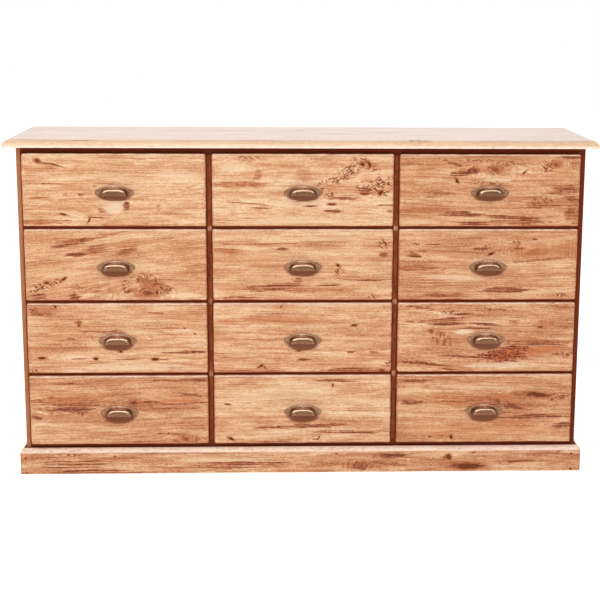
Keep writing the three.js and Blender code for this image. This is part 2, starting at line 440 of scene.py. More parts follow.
def draw_mark(mark, area, grain, colour):
    """One mark on a board's face; returns the new colour and how much of it is a pit."""
    if mark.kind == "knot":
        return draw_knot(mark, area, grain, colour), None
    if mark.kind == "swirl":
        return draw_swirl(mark, area, grain, colour), None
    inside = 1.0 - length(local_to(mark, area, grain.face))
    if mark.kind == "dark":
        speckled = inside + 2.0 * grain.rough + 1.2 * (grain.fleck - 0.5)
        halo = step(inside, -1.4, 0.2) * (0.6 * mark.strength)
        colour = soaked(halo, colour)
        cover = step(speckled, -0.25, 0.3) * mark.strength
        return blend_colour(cover, colour, DARK), cover
    if mark.kind == "flecks":
        spread = inside + 0.5 * grain.fringe + 2.5 * grain.rough
        within = step(spread, -0.2, 0.35) * mark.strength
        colour = blend_colour(within * step(grain.slash, 0.48, 0.40) * 0.2, colour, CREAM)
        colour = soaked(within * step(grain.slash, 0.49, 0.62), colour)
        cover = within * step(grain.slash, 0.57, 0.64)
        return blend_colour(cover, colour, FLECK), cover
    if mark.kind == "shade":
        # painted shadow that a pull casts, kept to the front face
        outer = step(world_axis(inside.tree, "Y") / MM - area.surface, 9.0, 6.0)
        cover = step(inside, 0.08, 0.32) * outer * mark.strength
        return blend_colour(cover, colour, SHADE), None
    spread = inside + 0.75 * grain.fringe
    if mark.kind == "stain":
        amount = step(spread, -0.05, 0.5) * (0.2 + 1.1 * grain.uneven) * mark.strength
        return soaked(amount, colour), None
    if mark.kind == "bars":
        barred = limited(0.5 + 3.0 * grain.chatter + 1.5 * grain.streak)
        return soaked(step(spread, 0.0, 0.3) * barred * (0.75 * mark.strength), colour), None
    if mark.kind == "flame":
        hatch = step(grain.slash + 0.5 * grain.streak, 0.44, 0.60)
        flame = blend_colour(hatch, FLAME, FLAME_DARK)
        return blend_colour(step(spread, 0.0, 0.3) * mark.strength, colour, flame), None
    if mark.kind == "amber":
        cover = step(spread, 0.0, 0.6) * (0.3 + 0.8 * grain.uneven) * mark.strength
        return blend_colour(limited(cover), colour, AMBER), None
    cover = step(spread, 0.0, 0.5) * (0.85 * mark.strength)
    return blend_colour(cover, colour, CREAM), None


def pine_material(name, along, wood, shift, area, marks=(), lean=0.0, tone=0.0, staves=None,
                  wax_and_light_layer=None):
    """Waxed or raw pine. Marks are placed on the board's face, whose reach is the area."""
    material, tree, shader = new_material(name)
    grain = Grain(tree, along, shift, area, marks, lean, staves)
    shown = step(grain.patch, 0.38, 0.58)
    level = (
        wood.level + tone + grain.stave_tone
        + wood.contrast * (0.7 * grain.fields + 0.5 * grain.band + 0.85 * grain.streak)
        + wood.contrast * 0.95 * grain.fibre
        - wood.contrast * 0.15 * grain.latewood * shown
    )
    colour = colour_ramp(level, wood.tones)
    stained = step(grain.patch + 0.5 * grain.streak, 0.53, 0.59) * grain.uneven * wood.redness
    colour = soaked(0.45 * stained, colour)
    lines = step(grain.line, 0.38, 0.29) * (0.2 + 0.8 * shown) * (0.6 * wood.contrast)
    colour = blend_colour(lines, colour, GRAIN_LINE)
    specks = step(grain.fleck, 0.70, 0.75) * (0.7 * wood.contrast)
    colour = blend_colour(specks, colour, SPECK)
    pits = larger(lines, specks)
    if grain.seam:
        colour = blend_colour(grain.seam * 0.6, colour, SEAM)
        pits = larger(pits, grain.seam)
    for mark in marks:
        colour, pit = draw_mark(mark, area, grain, colour)
        if pit:
            pits = larger(pits, pit)
    dull = pits
    # the board's own dark waxed edges, painted shade and painted light
    if wax_and_light_layer:
        colour, waxed_and_shaded = wax_and_light_layer(tree, colour, grain)
        dull = larger(pits, waxed_and_shaded)
    height = grain.fibre * 0.35 + grain.streak * 0.5 - pits * 0.8
    feed(shader.inputs["Base Color"], colour)
    roughness = wood.gloss + 0.22 * grain.fibre - 0.16 * grain.streak + 0.25 * dull
    feed(shader.inputs["Roughness"], roughness)
    feed(shader.inputs["Specular IOR Level"], wood.shine * (1.0 - 0.85 * dull))
    shader.inputs["Coat Weight"].default_value = wood.coat
    shader.inputs["Coat Roughness"].default_value = COAT_ROUGHNESS
    feed(shader.inputs["Normal"], bump(height, 0.35 * MM, 0.6))
    return material


def world_axis(tree, axis):
    place = node(tree, "TexCoord", {}, output="Object")
    return node(tree, "SeparateXYZ", (place,), output=axis)


def off_from(field, middle):
    """Distance of a coordinate from a middle value."""
    return node(field.tree, "Math", (field - middle,), operation="ABSOLUTE")


def front_wax_and_light(low, high):
    """Waxed dark and painted with shade deep in the gaps round a drawer front, and a reddened rim.

    The bottom edge gets painted shade; the top edge is pale, worn and painted with a highlight.
    """
    def lay(tree, colour, grain):
        depth = world_axis(tree, "Y") - low.y
        height = world_axis(tree, "Z")
        half = (high.x - low.x) / 2
        sides = off_from(world_axis(tree, "X"), (low.x + high.x) / 2)
        foot = step(height, low.z + 8 * MM, low.z + 2 * MM)
        rim = larger(step(sides, half - 6 * MM, half - 1 * MM), foot)
        rim = rim * limited(0.25 + 3.0 * grain.rough + 2.0 * (grain.patch - 0.5))
        colour = blend_colour(limited(rim), colour, RIM_WAX)
        # the top edge: worn, and painted with a highlight where its rounding faces the light
        over_edge = step(depth, 6.0 * MM, 1.5 * MM)
        rubbed_and_lit = step(height, high.z - 5.0 * MM, high.z - 2.5 * MM) * over_edge
        colour = blend_colour(rubbed_and_lit * limited(0.8 + 3.0 * grain.rough), colour, WORN_AND_LIT_EDGE)
        # painted shade along the bottom edge, whose rounding faces down
        sunk = step(height, low.z + 3.5 * MM, low.z + 0.5 * MM)
        colour = blend_colour(sunk * 0.8, colour, UNDERSIDE_SHADE)
        # the sides deep in the gaps: waxed dark, and painted shade
        in_gap = step(depth, 3.5 * MM, 8.0 * MM) * step(depth, 14.0 * MM, 11.0 * MM)
        waxed_and_shaded = limited(in_gap * (0.85 + 0.6 * grain.streak))
        return blend_colour(waxed_and_shaded, colour, GAP_WAX_AND_SHADE), waxed_and_shaded
    return lay


def carcass_wax_and_light(lit_beyond=None, middle=None, base=WAX_AND_SHADE):
    """Waxed dark and painted with shade on the carcass's front edges, deep in the gaps.

    Outwards of the given x it is paler tan: painted light on the lit outer stile. Round a partition's
    middle it is redder and less shaded, with pale spots of painted light at the corners where four
    drawers meet, where light falls in between their rounded corners.
    """
    def lay(tree, colour, grain):
        depth = world_axis(tree, "Y") - CARCASS_FRONT
        across = world_axis(tree, "X")
        height = world_axis(tree, "Z")
        # the edge colour: dark waxed brown standing for painted shade, with painted light laid on below
        waxed_shaded_lit = base
        if middle is not None:
            off = off_from(across, middle)
            # a partition's middle is redder and less shaded
            worn_off = limited(0.6 + 2.5 * grain.rough + 2.0 * (grain.patch - 0.5))
            bare = step(off, 7.0 * MM, 2.5 * MM) * worn_off
            waxed_shaded_lit = blend_colour(bare, base, THIN_WAX_AND_SHADE)
            # pale spots of painted light where light falls in between four rounded drawer corners
            for crossing in CROSSINGS:
                level = step(off_from(height, crossing), 9.0 * MM, 2.0 * MM)
                spot = level * step(off, 7.5 * MM, 3.0 * MM) * limited(0.6 + 3.0 * grain.rough)
                waxed_shaded_lit = blend_colour(spot, waxed_shaded_lit, LIT_CROSSING)
        # the front edges deep in the gaps are darkened: waxed dark, and painted shade
        cover = step(depth, 9.0 * MM, 3.0 * MM)
        # the outer stile is paler tan: painted light falling on it from the left
        if lit_beyond is not None:
            rubbed_and_lit = step(across, lit_beyond + 1.5 * MM, lit_beyond - 1.5 * MM)
            waxed_shaded_lit = blend_colour(rubbed_and_lit, base, LIT_STILE)
            cover = cover * (1.0 - 0.25 * rubbed_and_lit)
        return blend_colour(cover, colour, waxed_shaded_lit), cover
    return lay


# ---- the marks of each board ---------------------------------------------------------------------
def marked(*rows):
    """Marks from plain rows, laid in the order given.

    A row is the kind, the shares across and down the board's face, half the length and half the
    height in millimetres, and then, if they aren't 0 and 1, the tilt in degrees and the strength.
    """
    return tuple(Mark(*row) for row in rows)


MARKS = {
    "r1c1": marked(
        ("knot", 0.091, 0.100, 8, 6, -25), ("dark", 0.135, 0.135, 11, 1.6, -12, 0.7),
        ("dark", 0.185, 0.155, 16, 1.6, -14, 0.8), ("stain", 0.15, 0.19, 26, 8, 0, 0.45),
        ("amber", 0.07, 0.23, 32, 12, 0, 0.4), ("stain", 0.25, 0.41, 105, 3, 0, 0.55),
        ("stain", 0.30, 0.47, 60, 10, 0, 0.35), ("stain", 0.395, 0.445, 9, 4, 0, 0.6),
        ("stain", 0.235, 0.56, 9, 7, -30, 0.6), ("stain", 0.32, 0.565, 8, 6, 0, 0.8),
        ("stain", 0.09, 0.60, 30, 2, 0, 0.5), ("dark", 0.220, 0.827, 9, 2.2, -10),
        ("dark", 0.360, 0.905, 9, 2.2, 66, 0.9), ("dark", 0.40, 0.868, 20, 1.4, 0, 0.7),
        ("amber", 0.34, 0.775, 26, 13, 0, 0.45), ("stain", 0.43, 0.775, 16, 9, -15, 0.6),
        ("pale", 0.50, 0.74, 34, 17, 0, 0.9), ("stain", 0.565, 0.72, 9, 17, -12, 0.8),
        ("stain", 0.74, 0.75, 6, 14, 0, 0.4), ("stain", 0.10, 0.935, 80, 8, 0, 0.6),
        ("stain", 0.66, 0.975, 150, 4, 0, 0.5), ("stain", 0.66, 0.065, 70, 3, 0, 0.5),
        ("pale", 0.30, 0.33, 90, 7, 2, 0.6), ("pale", 0.85, 0.28, 60, 16, 0, 0.4),
    ),
    "r1c2": marked(
        ("flecks", 0.755, 0.22, 34, 17, 25, 0.95), ("flecks", 0.845, 0.13, 36, 12, -20),
        ("flecks", 0.66, 0.37, 44, 10, 12, 0.9), ("flecks", 0.86, 0.46, 26, 15, 0, 0.9),
        ("flecks", 0.94, 0.42, 26, 26, -10, 0.95), ("flecks", 0.65, 0.55, 14, 9, 0, 0.9),
        ("flecks", 0.20, 0.06, 24, 9, 0, 0.6), ("dark", 0.825, 0.135, 5, 7, 20, 0.9),
        ("dark", 0.862, 0.135, 4, 8, 30, 0.9), ("dark", 0.930, 0.53, 4, 8, -35, 0.95),
        ("stain", 0.84, 0.51, 15, 12, 0, 0.9), ("stain", 0.605, 0.495, 9, 9, 10),
        ("amber", 0.645, 0.49, 20, 7, 8, 0.6), ("amber", 0.85, 0.33, 22, 12, 0, 0.5),
        ("stain", 0.14, 0.42, 90, 8, 0, 0.6), ("stain", 0.255, 0.28, 10, 16, 0, 0.5),
        ("stain", 0.50, 0.30, 24, 20, 0, 0.35), ("stain", 0.67, 0.785, 24, 5),
        ("stain", 0.54, 0.715, 24, 4, 0, 0.9), ("stain", 0.66, 0.695, 14, 4),
        ("stain", 0.975, 0.785, 16, 4), ("stain", 0.955, 0.70, 24, 3, 0, 0.9),
        ("stain", 0.72, 0.61, 60, 3, 0, 0.8), ("stain", 0.27, 0.745, 30, 3, 0, 0.8),
        ("stain", 0.20, 0.68, 60, 3, -4, 0.5), ("pale", 0.45, 0.92, 200, 12, 0, 0.6),
        ("pale", 0.12, 0.18, 60, 14, 0, 0.6),
    ),
    "r1c3": marked(
        ("amber", 0.41, 0.22, 64, 16, 4, 0.6), ("stain", 0.38, 0.24, 60, 11, 6, 0.9),
        ("stain", 0.30, 0.13, 30, 5, -20, 0.9), ("swirl", 0.53, 0.21, 38, 18, 0, 1.2),
        ("knot", 0.525, 0.21, 11, 7, 0, 0.8), ("flecks", 0.44, 0.09, 46, 5, 0, 0.8),
        ("flecks", 0.58, 0.12, 26, 6, 0, 0.9), ("dark", 0.315, 0.355, 8, 3.4, -50, 0.85),
        ("dark", 0.69, 0.245, 8, 2, 40, 0.8), ("swirl", 0.868, 0.135, 22, 12, 0, 1.2),
        ("knot", 0.86, 0.14, 6, 4, 0, 0.9), ("flecks", 0.82, 0.17, 15, 12),
        ("stain", 0.96, 0.115, 12, 3, 0, 0.8), ("pale", 0.55, 0.36, 62, 8, 0, 0.8),
        ("flecks", 0.47, 0.395, 50, 4, 0, 0.6), ("stain", 0.92, 0.44, 44, 6, 10, 0.9),
        ("stain", 0.90, 0.52, 70, 11, 6, 1.2), ("stain", 0.96, 0.61, 34, 9, -14, 1.4),
        ("stain", 0.80, 0.70, 60, 9, -2, 0.8), ("flecks", 0.81, 0.63, 40, 6, 0, 0.7),
        ("dark", 0.71, 0.885, 13, 4, -20, 0.9), ("dark", 0.70, 0.90, 15, 3, 14, 0.9),
        ("stain", 0.64, 0.87, 100, 7, -3, 0.9), ("stain", 0.55, 0.95, 150, 9, 0, 0.8),
        ("stain", 0.33, 0.82, 80, 9, -3, 0.8), ("stain", 0.15, 0.77, 70, 9, 0, 0.4),
        ("stain", 0.95, 0.045, 40, 6, 0, 0.9), ("stain", 0.97, 0.80, 30, 34, 0, 0.7),
        ("pale", 0.10, 0.93, 60, 8, 0, 0.5),
    ),
    "r2c1": marked(
        ("stain", 0.285, 0.17, 86, 9, 13), ("stain", 0.40, 0.27, 36, 12, 8, 0.7),
        ("stain", 0.44, 0.10, 60, 5, 12, 0.5), ("stain", 0.285, 0.357, 27, 7, 4, 0.85),
        ("stain", 0.39, 0.30, 22, 6, 8, 0.6), ("stain", 0.563, 0.303, 32, 12, 8, 1.3),
        ("stain", 0.60, 0.22, 80, 5, 9, 0.4), ("dark", 0.118, 0.746, 6, 3.6),
        ("dark", 0.212, 0.689, 7, 3.4, 30, 0.9), ("flecks", 0.075, 0.80, 24, 11, 20),
        ("flecks", 0.15, 0.76, 26, 8, 20, 0.8), ("flecks", 0.29, 0.815, 18, 8, 0, 0.7),
        ("stain", 0.065, 0.925, 26, 9, 0, 1.5), ("stain", 0.268, 0.93, 16, 11, 0, 1.4),
        ("stain", 0.40, 0.87, 60, 6, 0, 0.5), ("flecks", 0.69, 0.73, 42, 20, -15, 0.9),
        ("stain", 0.72, 0.80, 50, 16, -15, 0.8), ("swirl", 0.67, 0.88, 40, 20, 0, 1.2),
        ("knot", 0.675, 0.895, 15, 8, 0, 0.9), ("flecks", 0.555, 0.81, 17, 14),
        ("flecks", 0.765, 0.84, 22, 14), ("dark", 0.724, 0.88, 2.6, 7, 10, 0.9),
        ("stain", 0.665, 0.72, 22, 7, -20, 0.7), ("pale", 0.86, 0.93, 50, 9, 0, 0.8),
        ("pale", 0.20, 0.62, 70, 8, 4, 0.5),
    ),
    "r2c2": marked(
        ("stain", 0.09, 0.205, 34, 2, 0, 0.9), ("stain", 0.36, 0.20, 90, 1.8, 0, 0.9),
        ("stain", 0.39, 0.28, 20, 5, 0, 0.8), ("stain", 0.09, 0.30, 40, 9, 0, 0.7),
        ("dark", 0.953, 0.195, 12, 2, -65, 0.8), ("flecks", 0.94, 0.21, 16, 12, 0, 0.7),
        ("stain", 0.955, 0.355, 15, 7, 0, 0.7), ("amber", 0.74, 0.41, 42, 5, 3, 0.7),
        ("dark", 0.695, 0.505, 6, 3, -35), ("flecks", 0.70, 0.60, 14, 12, 0, 0.8),
        ("stain", 0.36, 0.82, 90, 11, 3, 0.9), ("stain", 0.476, 0.71, 16, 7, 0, 0.8),
        ("stain", 0.87, 0.71, 66, 2.6), ("stain", 0.65, 0.785, 46, 3, 2),
        ("stain", 0.62, 0.86, 110, 6, 0, 0.5), ("amber", 0.11, 0.91, 50, 11, 0, 0.5),
        ("flecks", 0.90, 0.955, 18, 6, 0, 0.9), ("stain", 0.12, 0.965, 60, 5, 0, 0.7),
        ("pale", 0.60, 0.13, 150, 8, 0, 0.5),
    ),
    "r2c3": marked(
        ("flecks", 0.085, 0.205, 18, 4, 0, 0.9), ("flecks", 0.205, 0.205, 20, 4),
        ("stain", 0.21, 0.21, 22, 2, 0, 0.9), ("flecks", 0.075, 0.31, 28, 4, 0, 0.9),
        ("stain", 0.09, 0.375, 18, 5), ("stain", 0.11, 0.545, 64, 9, 0, 0.8),
        ("flecks", 0.20, 0.55, 30, 5, 0, 0.6), ("dark", 0.46, 0.275, 20, 2.4, 0, 0.8),
        ("flecks", 0.46, 0.27, 26, 6, 0, 0.9), ("dark", 0.515, 0.345, 9, 2.6, 20),
        ("dark", 0.675, 0.27, 12, 2.4, 0, 0.8), ("flecks", 0.66, 0.20, 14, 14, 0, 0.6),
        ("dark", 0.756, 0.135, 6, 1.8, 0, 0.9), ("amber", 0.82, 0.30, 115, 27, 4, 0.4),
        ("swirl", 1.02, 0.26, 120, 24, 3, 0.6), ("stain", 0.84, 0.30, 90, 8, 6, 0.4),
        ("stain", 0.80, 0.43, 85, 4, 5, 0.9), ("stain", 0.93, 0.55, 50, 3, 0, 0.5),
        ("stain", 0.60, 0.86, 80, 9, 0, 0.85), ("stain", 0.26, 0.93, 70, 6, 0, 0.7),
        ("stain", 0.80, 0.80, 90, 4, 0, 0.5), ("flecks", 0.90, 0.93, 24, 6, 0, 0.9),
        ("pale", 0.30, 0.68, 110, 8, 0, 0.5),
    ),
    "r3c1": marked(
        ("stain", 0.10, 0.14, 40, 12, 0, 0.7), ("flecks", 0.04, 0.105, 14, 8, 0, 0.9),
        ("flecks", 0.157, 0.05, 12, 6), ("dark", 0.287, 0.29, 5, 7, 0, 0.8),
        ("stain", 0.285, 0.28, 12, 9, 0, 0.6), ("stain", 0.72, 0.135, 24, 3, -4, 0.8),
        ("stain", 0.46, 0.41, 66, 6, 0, 0.8), ("stain", 0.24, 0.50, 16, 5, 0, 0.7),
        ("dark", 0.080, 0.775, 9, 3.2, 0, 0.95), ("stain", 0.29, 0.79, 20, 1.8, 0, 0.9),
        ("dark", 0.378, 0.79, 5, 3.2, 15, 0.95), ("dark", 0.555, 0.80, 24, 1.2, 0, 0.7),
        ("dark", 0.707, 0.80, 9, 3.2, 0, 0.95), ("dark", 0.76, 0.805, 9, 1.2, 0, 0.7),
        ("stain", 0.86, 0.70, 66, 6, 0, 0.95), ("dark", 0.513, 0.69, 6, 3.2, 0, 0.95),
        ("dark", 0.874, 0.363, 2.6, 2.6, 0, 0.8), ("dark", 0.93, 0.44, 2.6, 2, 0, 0.7),
        ("pale", 0.85, 0.39, 46, 6, 0, 0.7), ("pale", 0.60, 0.91, 190, 14, 0, 0.7),
        ("flecks", 0.03, 0.965, 14, 5),
    ),
    "r3c2": marked(
        ("amber", 0.09, 0.26, 42, 10, 0, 0.9), ("amber", 0.42, 0.24, 150, 16, 1, 0.5),
        ("dark", 0.38, 0.05, 4, 2, 50, 0.9), ("dark", 0.79, 0.318, 7, 3.6, 0, 0.85),
        ("stain", 0.77, 0.71, 14, 4, 0, 0.85), ("stain", 0.90, 0.715, 14, 3.4, 0, 0.85),
        ("stain", 0.505, 0.805, 20, 5, 0, 0.9), ("stain", 0.38, 0.73, 40, 3, 0, 0.6),
        ("dark", 0.263, 0.905, 9, 3, 25, 0.85), ("dark", 0.29, 0.925, 5, 2.4, -50, 0.85),
        ("dark", 0.478, 0.683, 7, 2.6, 0, 0.8), ("stain", 0.79, 0.96, 100, 7, 0, 0.9),
        ("dark", 0.945, 0.975, 8, 4, 0, 0.85), ("flecks", 0.985, 0.86, 8, 8, 0, 0.9),
        ("amber", 0.16, 0.96, 90, 9, 0, 0.8), ("stain", 0.20, 0.975, 90, 4, 0, 0.6),
        ("pale", 0.50, 0.62, 90, 6, 0, 0.4),
    ),
    "r3c3": marked(
        ("flecks", 0.10, 0.06, 42, 5, -3), ("stain", 0.10, 0.06, 42, 3, -4),
        ("pale", 0.27, 0.16, 50, 7, -6, 0.8), ("flecks", 0.31, 0.14, 52, 7, -7),
        ("dark", 0.365, 0.165, 22, 2, 3, 0.85), ("flecks", 0.54, 0.105, 40, 4),
        ("stain", 0.25, 0.245, 90, 7, 4), ("stain", 0.30, 0.30, 66, 5, 0, 1.2),
        ("stain", 0.49, 0.31, 62, 4, -4, 1.1), ("dark", 0.445, 0.368, 42, 2, 0, 0.75),
        ("bars", 0.25, 0.50, 36, 22, 0, 1.1), ("dark", 0.19, 0.41, 6, 6, 0, 0.6),
        ("pale", 0.375, 0.42, 30, 8), ("bars", 0.66, 0.29, 16, 10, 0, 0.9),
        ("bars", 0.835, 0.31, 30, 14, 0, 0.8), ("dark", 0.805, 0.35, 8, 3.4, 0, 0.8),
        ("stain", 0.94, 0.055, 34, 6, 0, 0.9), ("stain", 0.80, 0.57, 100, 9, 0, 0.8),
        ("stain", 0.78, 0.60, 84, 2.4, 0, 1.3), ("stain", 0.38, 0.78, 70, 4, -3),
        ("flecks", 0.50, 0.76, 18, 10, 0, 0.9), ("amber", 0.80, 0.69, 66, 13, 4, 1.2),
        ("flame", 0.615, 0.75, 72, 25, 8), ("flecks", 0.94, 0.745, 34, 7),
        ("dark", 0.16, 0.88, 74, 1.8, -5, 0.85), ("flecks", 0.13, 0.865, 60, 5, -5),
        ("stain", 0.285, 0.955, 24, 4, -5, 1.1), ("pale", 0.65, 0.91, 150, 9, 0, 0.8),
        ("pale", 0.10, 0.32, 40, 8, 5, 0.5),
    ),
    "r4c1": marked(
        ("stain", 0.19, 0.115, 46, 5), ("stain", 0.84, 0.07, 84, 4), ("stain", 0.95, 0.065, 30, 6, 0, 0.9),
        ("amber", 0.22, 0.34, 130, 26, -1, 0.5), ("stain", 0.20, 0.36, 120, 14, -1, 0.6),
        ("stain", 0.22, 0.42, 120, 5, -1, 0.9), ("stain", 0.215, 0.485, 84, 9, 0, 1.6),
        ("flecks", 0.22, 0.52, 60, 5, 0, 0.8), ("amber", 0.77, 0.38, 120, 9, 3),
        ("stain", 0.80, 0.41, 110, 3, 2, 0.9), ("stain", 0.88, 0.27, 60, 4, -8, 0.8),
        ("swirl", 0.585, 0.39, 28, 12, 0, 1.1), ("knot", 0.581, 0.393, 10, 5.5),
        ("stain", 0.685, 0.385, 26, 5, 0, 1.2), ("dark", 0.292, 0.546, 2.4, 4, 0, 0.9),
        ("stain", 0.035, 0.60, 20, 6, -10, 0.9), ("pale", 0.05, 0.52, 24, 4, -14, 0.9),
        ("pale", 0.05, 0.70, 30, 5, 10, 0.7), ("swirl", 0.87, 0.92, 24, 13, 0, 1.1),
        ("knot", 0.87, 0.93, 9, 5, 0, 0.8), ("stain", 0.80, 0.85, 60, 3, -3, 0.8),
        ("dark", 0.7725, 0.83, 2, 2, 0, 0.9),
    ),
    "r4c2": marked(
        ("stain", 0.70, 0.08, 74, 5), ("dark", 0.67, 0.158, 2.6, 4.4, -20, 0.95),
        ("dark", 0.077, 0.416, 8, 2.2, -12, 0.8), ("pale", 0.40, 0.28, 190, 22, 0, 0.5),
        ("stain", 0.81, 0.52, 90, 1.8, 0, 0.8), ("stain", 0.38, 0.76, 84, 6, 0, 0.9),
        ("stain", 0.50, 0.735, 34, 6), ("stain", 0.62, 0.735, 74, 6, 2, 1.2),
        ("bars", 0.66, 0.75, 50, 6, 0, 0.6), ("stain", 0.78, 0.835, 104, 6, 0, 0.8),
        ("dark", 0.096, 0.925, 8, 3, -30, 0.95), ("flecks", 0.58, 0.92, 12, 6),
        ("pale", 0.80, 0.38, 90, 9, 0, 0.5), ("stain", 0.30, 0.97, 110, 4, 0, 0.6),
    ),
    "r4c3": marked(
        ("amber", 0.45, 0.38, 210, 20, 0, 0.6), ("amber", 0.50, 0.80, 240, 30, 0, 0.5),
        ("stain", 0.12, 0.09, 42, 6), ("stain", 0.10, 0.40, 36, 8), ("stain", 0.35, 0.37, 100, 9, 0, 0.6),
        ("stain", 0.78, 0.29, 56, 10, -3, 1.7), ("dark", 0.80, 0.30, 34, 7, -8, 0.8),
        ("flecks", 0.94, 0.335, 32, 6, 10), ("stain", 0.93, 0.33, 26, 3, 12, 1.1),
        ("stain", 0.61, 0.42, 50, 8, -17, 1.2), ("dark", 0.665, 0.47, 26, 6, -14, 0.8),
        ("flecks", 0.62, 0.43, 44, 9, -17), ("stain", 0.80, 0.62, 110, 6, 2, 1.1),
        ("dark", 0.77, 0.60, 46, 2, 3, 0.7), ("stain", 0.95, 0.755, 34, 9, 0, 1.2),
        ("dark", 0.317, 0.915, 3.6, 6, 10, 0.95), ("dark", 0.193, 0.91, 4, 2, 0, 0.85),
        ("stain", 0.48, 0.98, 24, 3, 0, 1.2), ("pale", 0.45, 0.19, 200, 8, -2, 0.5),
    ),
    "plinth_front": marked(
        ("stain", 0.09, 0.52, 90, 2.0, 0, 1.1), ("stain", 0.11, 0.62, 110, 2.2, 0, 1.1),
        ("stain", 0.09, 0.74, 100, 2.2, 0, 1.1), ("stain", 0.12, 0.87, 120, 2.6, 0, 1.1),
        ("dark", 0.125, 0.50, 22, 1.3, 0, 0.9), ("flecks", 0.085, 0.27, 44, 3.5, 0, 0.8),
        ("dark", 0.167, 0.32, 4, 1.4, 0, 0.9), ("pale", 0.36, 0.50, 190, 7, 0, 0.7),
        ("stain", 0.36, 0.80, 150, 3, 0, 0.8), ("dark", 0.56, 0.26, 3.4, 1.4, 0, 0.9),
        ("stain", 0.66, 0.36, 60, 9, 0, 1.2), ("stain", 0.40, 0.62, 120, 5),
        ("stain", 0.76, 0.42, 16, 12, 0, 1.2), ("stain", 0.60, 0.74, 50, 16, 0, 1.3),
        ("swirl", 0.603, 0.74, 26, 14, 0, 1.2), ("flecks", 0.603, 0.74, 26, 13),
        ("dark", 0.763, 0.42, 6, 7, 20, 0.8), ("dark", 0.748, 0.14, 3, 2, 0, 0.9),
        ("stain", 0.797, 0.77, 56, 14, 0, 1.6), ("dark", 0.797, 0.79, 40, 9, 0, 0.8),
        ("stain", 0.90, 0.62, 90, 4, 0, 0.8), ("dark", 0.807, 0.25, 6, 1.4, 10, 0.8),
        ("dark", 0.962, 0.22, 7, 1.4, 20, 0.8), ("dark", 0.984, 0.32, 2.2, 2.2),
        ("dark", 0.984, 0.93, 2.2, 2.2), ("dark", 0.009, 0.38, 2.2, 2.2), ("dark", 0.010, 0.96, 2.2, 2.2),
    ),
    "top_panel": marked(
        ("amber", 0.18, 0.55, 120, 22, 0, 0.4), ("knot", 0.31, 0.80, 13, 8, 0, 0.7),
        ("stain", 0.62, 0.30, 180, 12, 0, 0.4), ("knot", 0.80, 0.25, 11, 8, 0, 0.7),
        ("stain", 0.90, 0.75, 120, 9, 0, 0.4), ("flecks", 0.955, 0.972, 16, 9, 0, 0.8),
        ("swirl", 0.976, 0.965, 20, 14, 0, 0.6), ("dark", 0.10, 0.972, 5, 2, 0, 0.7),
        ("stain", 0.40, 0.978, 70, 2, 0, 0.8), ("stain", 0.70, 0.968, 90, 2, 0, 0.6),
    ),
    "back_panel": marked(
        ("knot", 0.72, 0.10, 12, 8, 0, 0.8), ("knot", 0.35, 0.27, 14, 9, 0, 0.8),
        ("knot", 0.80, 0.47, 10, 7, 0, 0.8), ("knot", 0.20, 0.66, 13, 9, 0, 0.8),
        ("knot", 0.60, 0.86, 11, 8, 0, 0.8),
    ),
    "left_side_panel": marked(
        ("knot", 0.30, 0.40, 16, 9), ("knot", 0.72, 0.66, 11, 8), ("stain", 0.55, 0.30, 150, 11, 0, 0.5),
        ("flecks", 0.28, 0.75, 46, 16, 0, 0.8),
    ),
    "right_side_panel": marked(
        ("knot", 0.62, 0.25, 15, 10), ("knot", 0.35, 0.70, 12, 8), ("stain", 0.40, 0.45, 170, 10, 0, 0.5),
        ("flecks", 0.70, 0.72, 40, 14, 0, 0.8),
    ),
}
PULL_SHADE = Mark("shade", 0.5, 0.572, 56, 19.5, 0, 0.9)  # painted shadow that the pull casts below itself
SHADE_GROWTH = 4.0  # how much farther down it reaches on every lower row, in millimetres
# how much lighter or darker each drawer front is than the rest; the right-hand column's darker
# tones are partly painted shade, for light that falls off towards the right
TONES = {
    "r1c1": 0.01, "r1c2": 0.04, "r1c3": -0.09, "r2c1": -0.03, "r2c2": -0.01, "r2c3": -0.10,
    "r3c1": -0.04, "r3c2": -0.03, "r3c3": -0.08, "r4c1": -0.10, "r4c2": 0.01, "r4c3": -0.13,
}
LEANS = {"r2c1": -0.10, "r3c2": 0.01, "r1c3": 0.02, "r4c3": 0.03, "r3c3": 0.03, "r4c1": -0.02}


# ---- boards --------------------------------------------------------------------------------------
def new_object(name, mesh, material, body, slot_name, *replaced):
    """Put a mesh in the scene, riding on a body and standing for the CAD nodes it replaces."""
    piece = bpy.data.objects.new(name, mesh)
    bpy.context.scene.collection.objects.link(piece)
    mesh.materials.append(material)
    mesh.shade_smooth()
    mesh.set_sharp_from_angle(angle=SHARP)
    normals = piece.modifiers.new("even_normals", "WEIGHTED_NORMAL")
    normals.keep_sharp = True
    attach(piece, body)
    if replaced:
        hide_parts(*replaced)
    return piece


def cross_cut(bm, axis, spacing):
    """Cut a mesh across one axis at even steps no longer than the spacing."""
    places = [vertex.co[axis] for vertex in bm.verts]
    low, high = min(places), max(places)
    count = math.ceil((high - low) / spacing)
    normal = Vector([1.0 if index == axis else 0.0 for index in range(3)])
    for index in range(1, count):
        place = normal * (low + (high - low) * index / count)
        geometry = bm.verts[:] + bm.edges[:] + bm.faces[:]
        bmesh.ops.bisect_plane(bm, geom=geometry, plane_co=place, plane_no=normal)


def worn(bm, low, high, depth, reach):
    """Rub the outer edges in by up to depth, unevenly, fading out over reach from the edge."""
    middle = (low + high) / 2
    half = (high - low) / 2
    for vertex in bm.verts:
        offset = vertex.co - middle
        gaps = sorted(half[axis] - abs(offset[axis]) for axis in range(3))
        nearness = max(0.0, 1 - gaps[1] / reach)
        rub = depth * nearness * (0.4 + 0.7 * noise.noise(vertex.co / (32 * MM)))
        vertex.co -= Vector([math.copysign(rub, part) for part in offset]) * 0.6


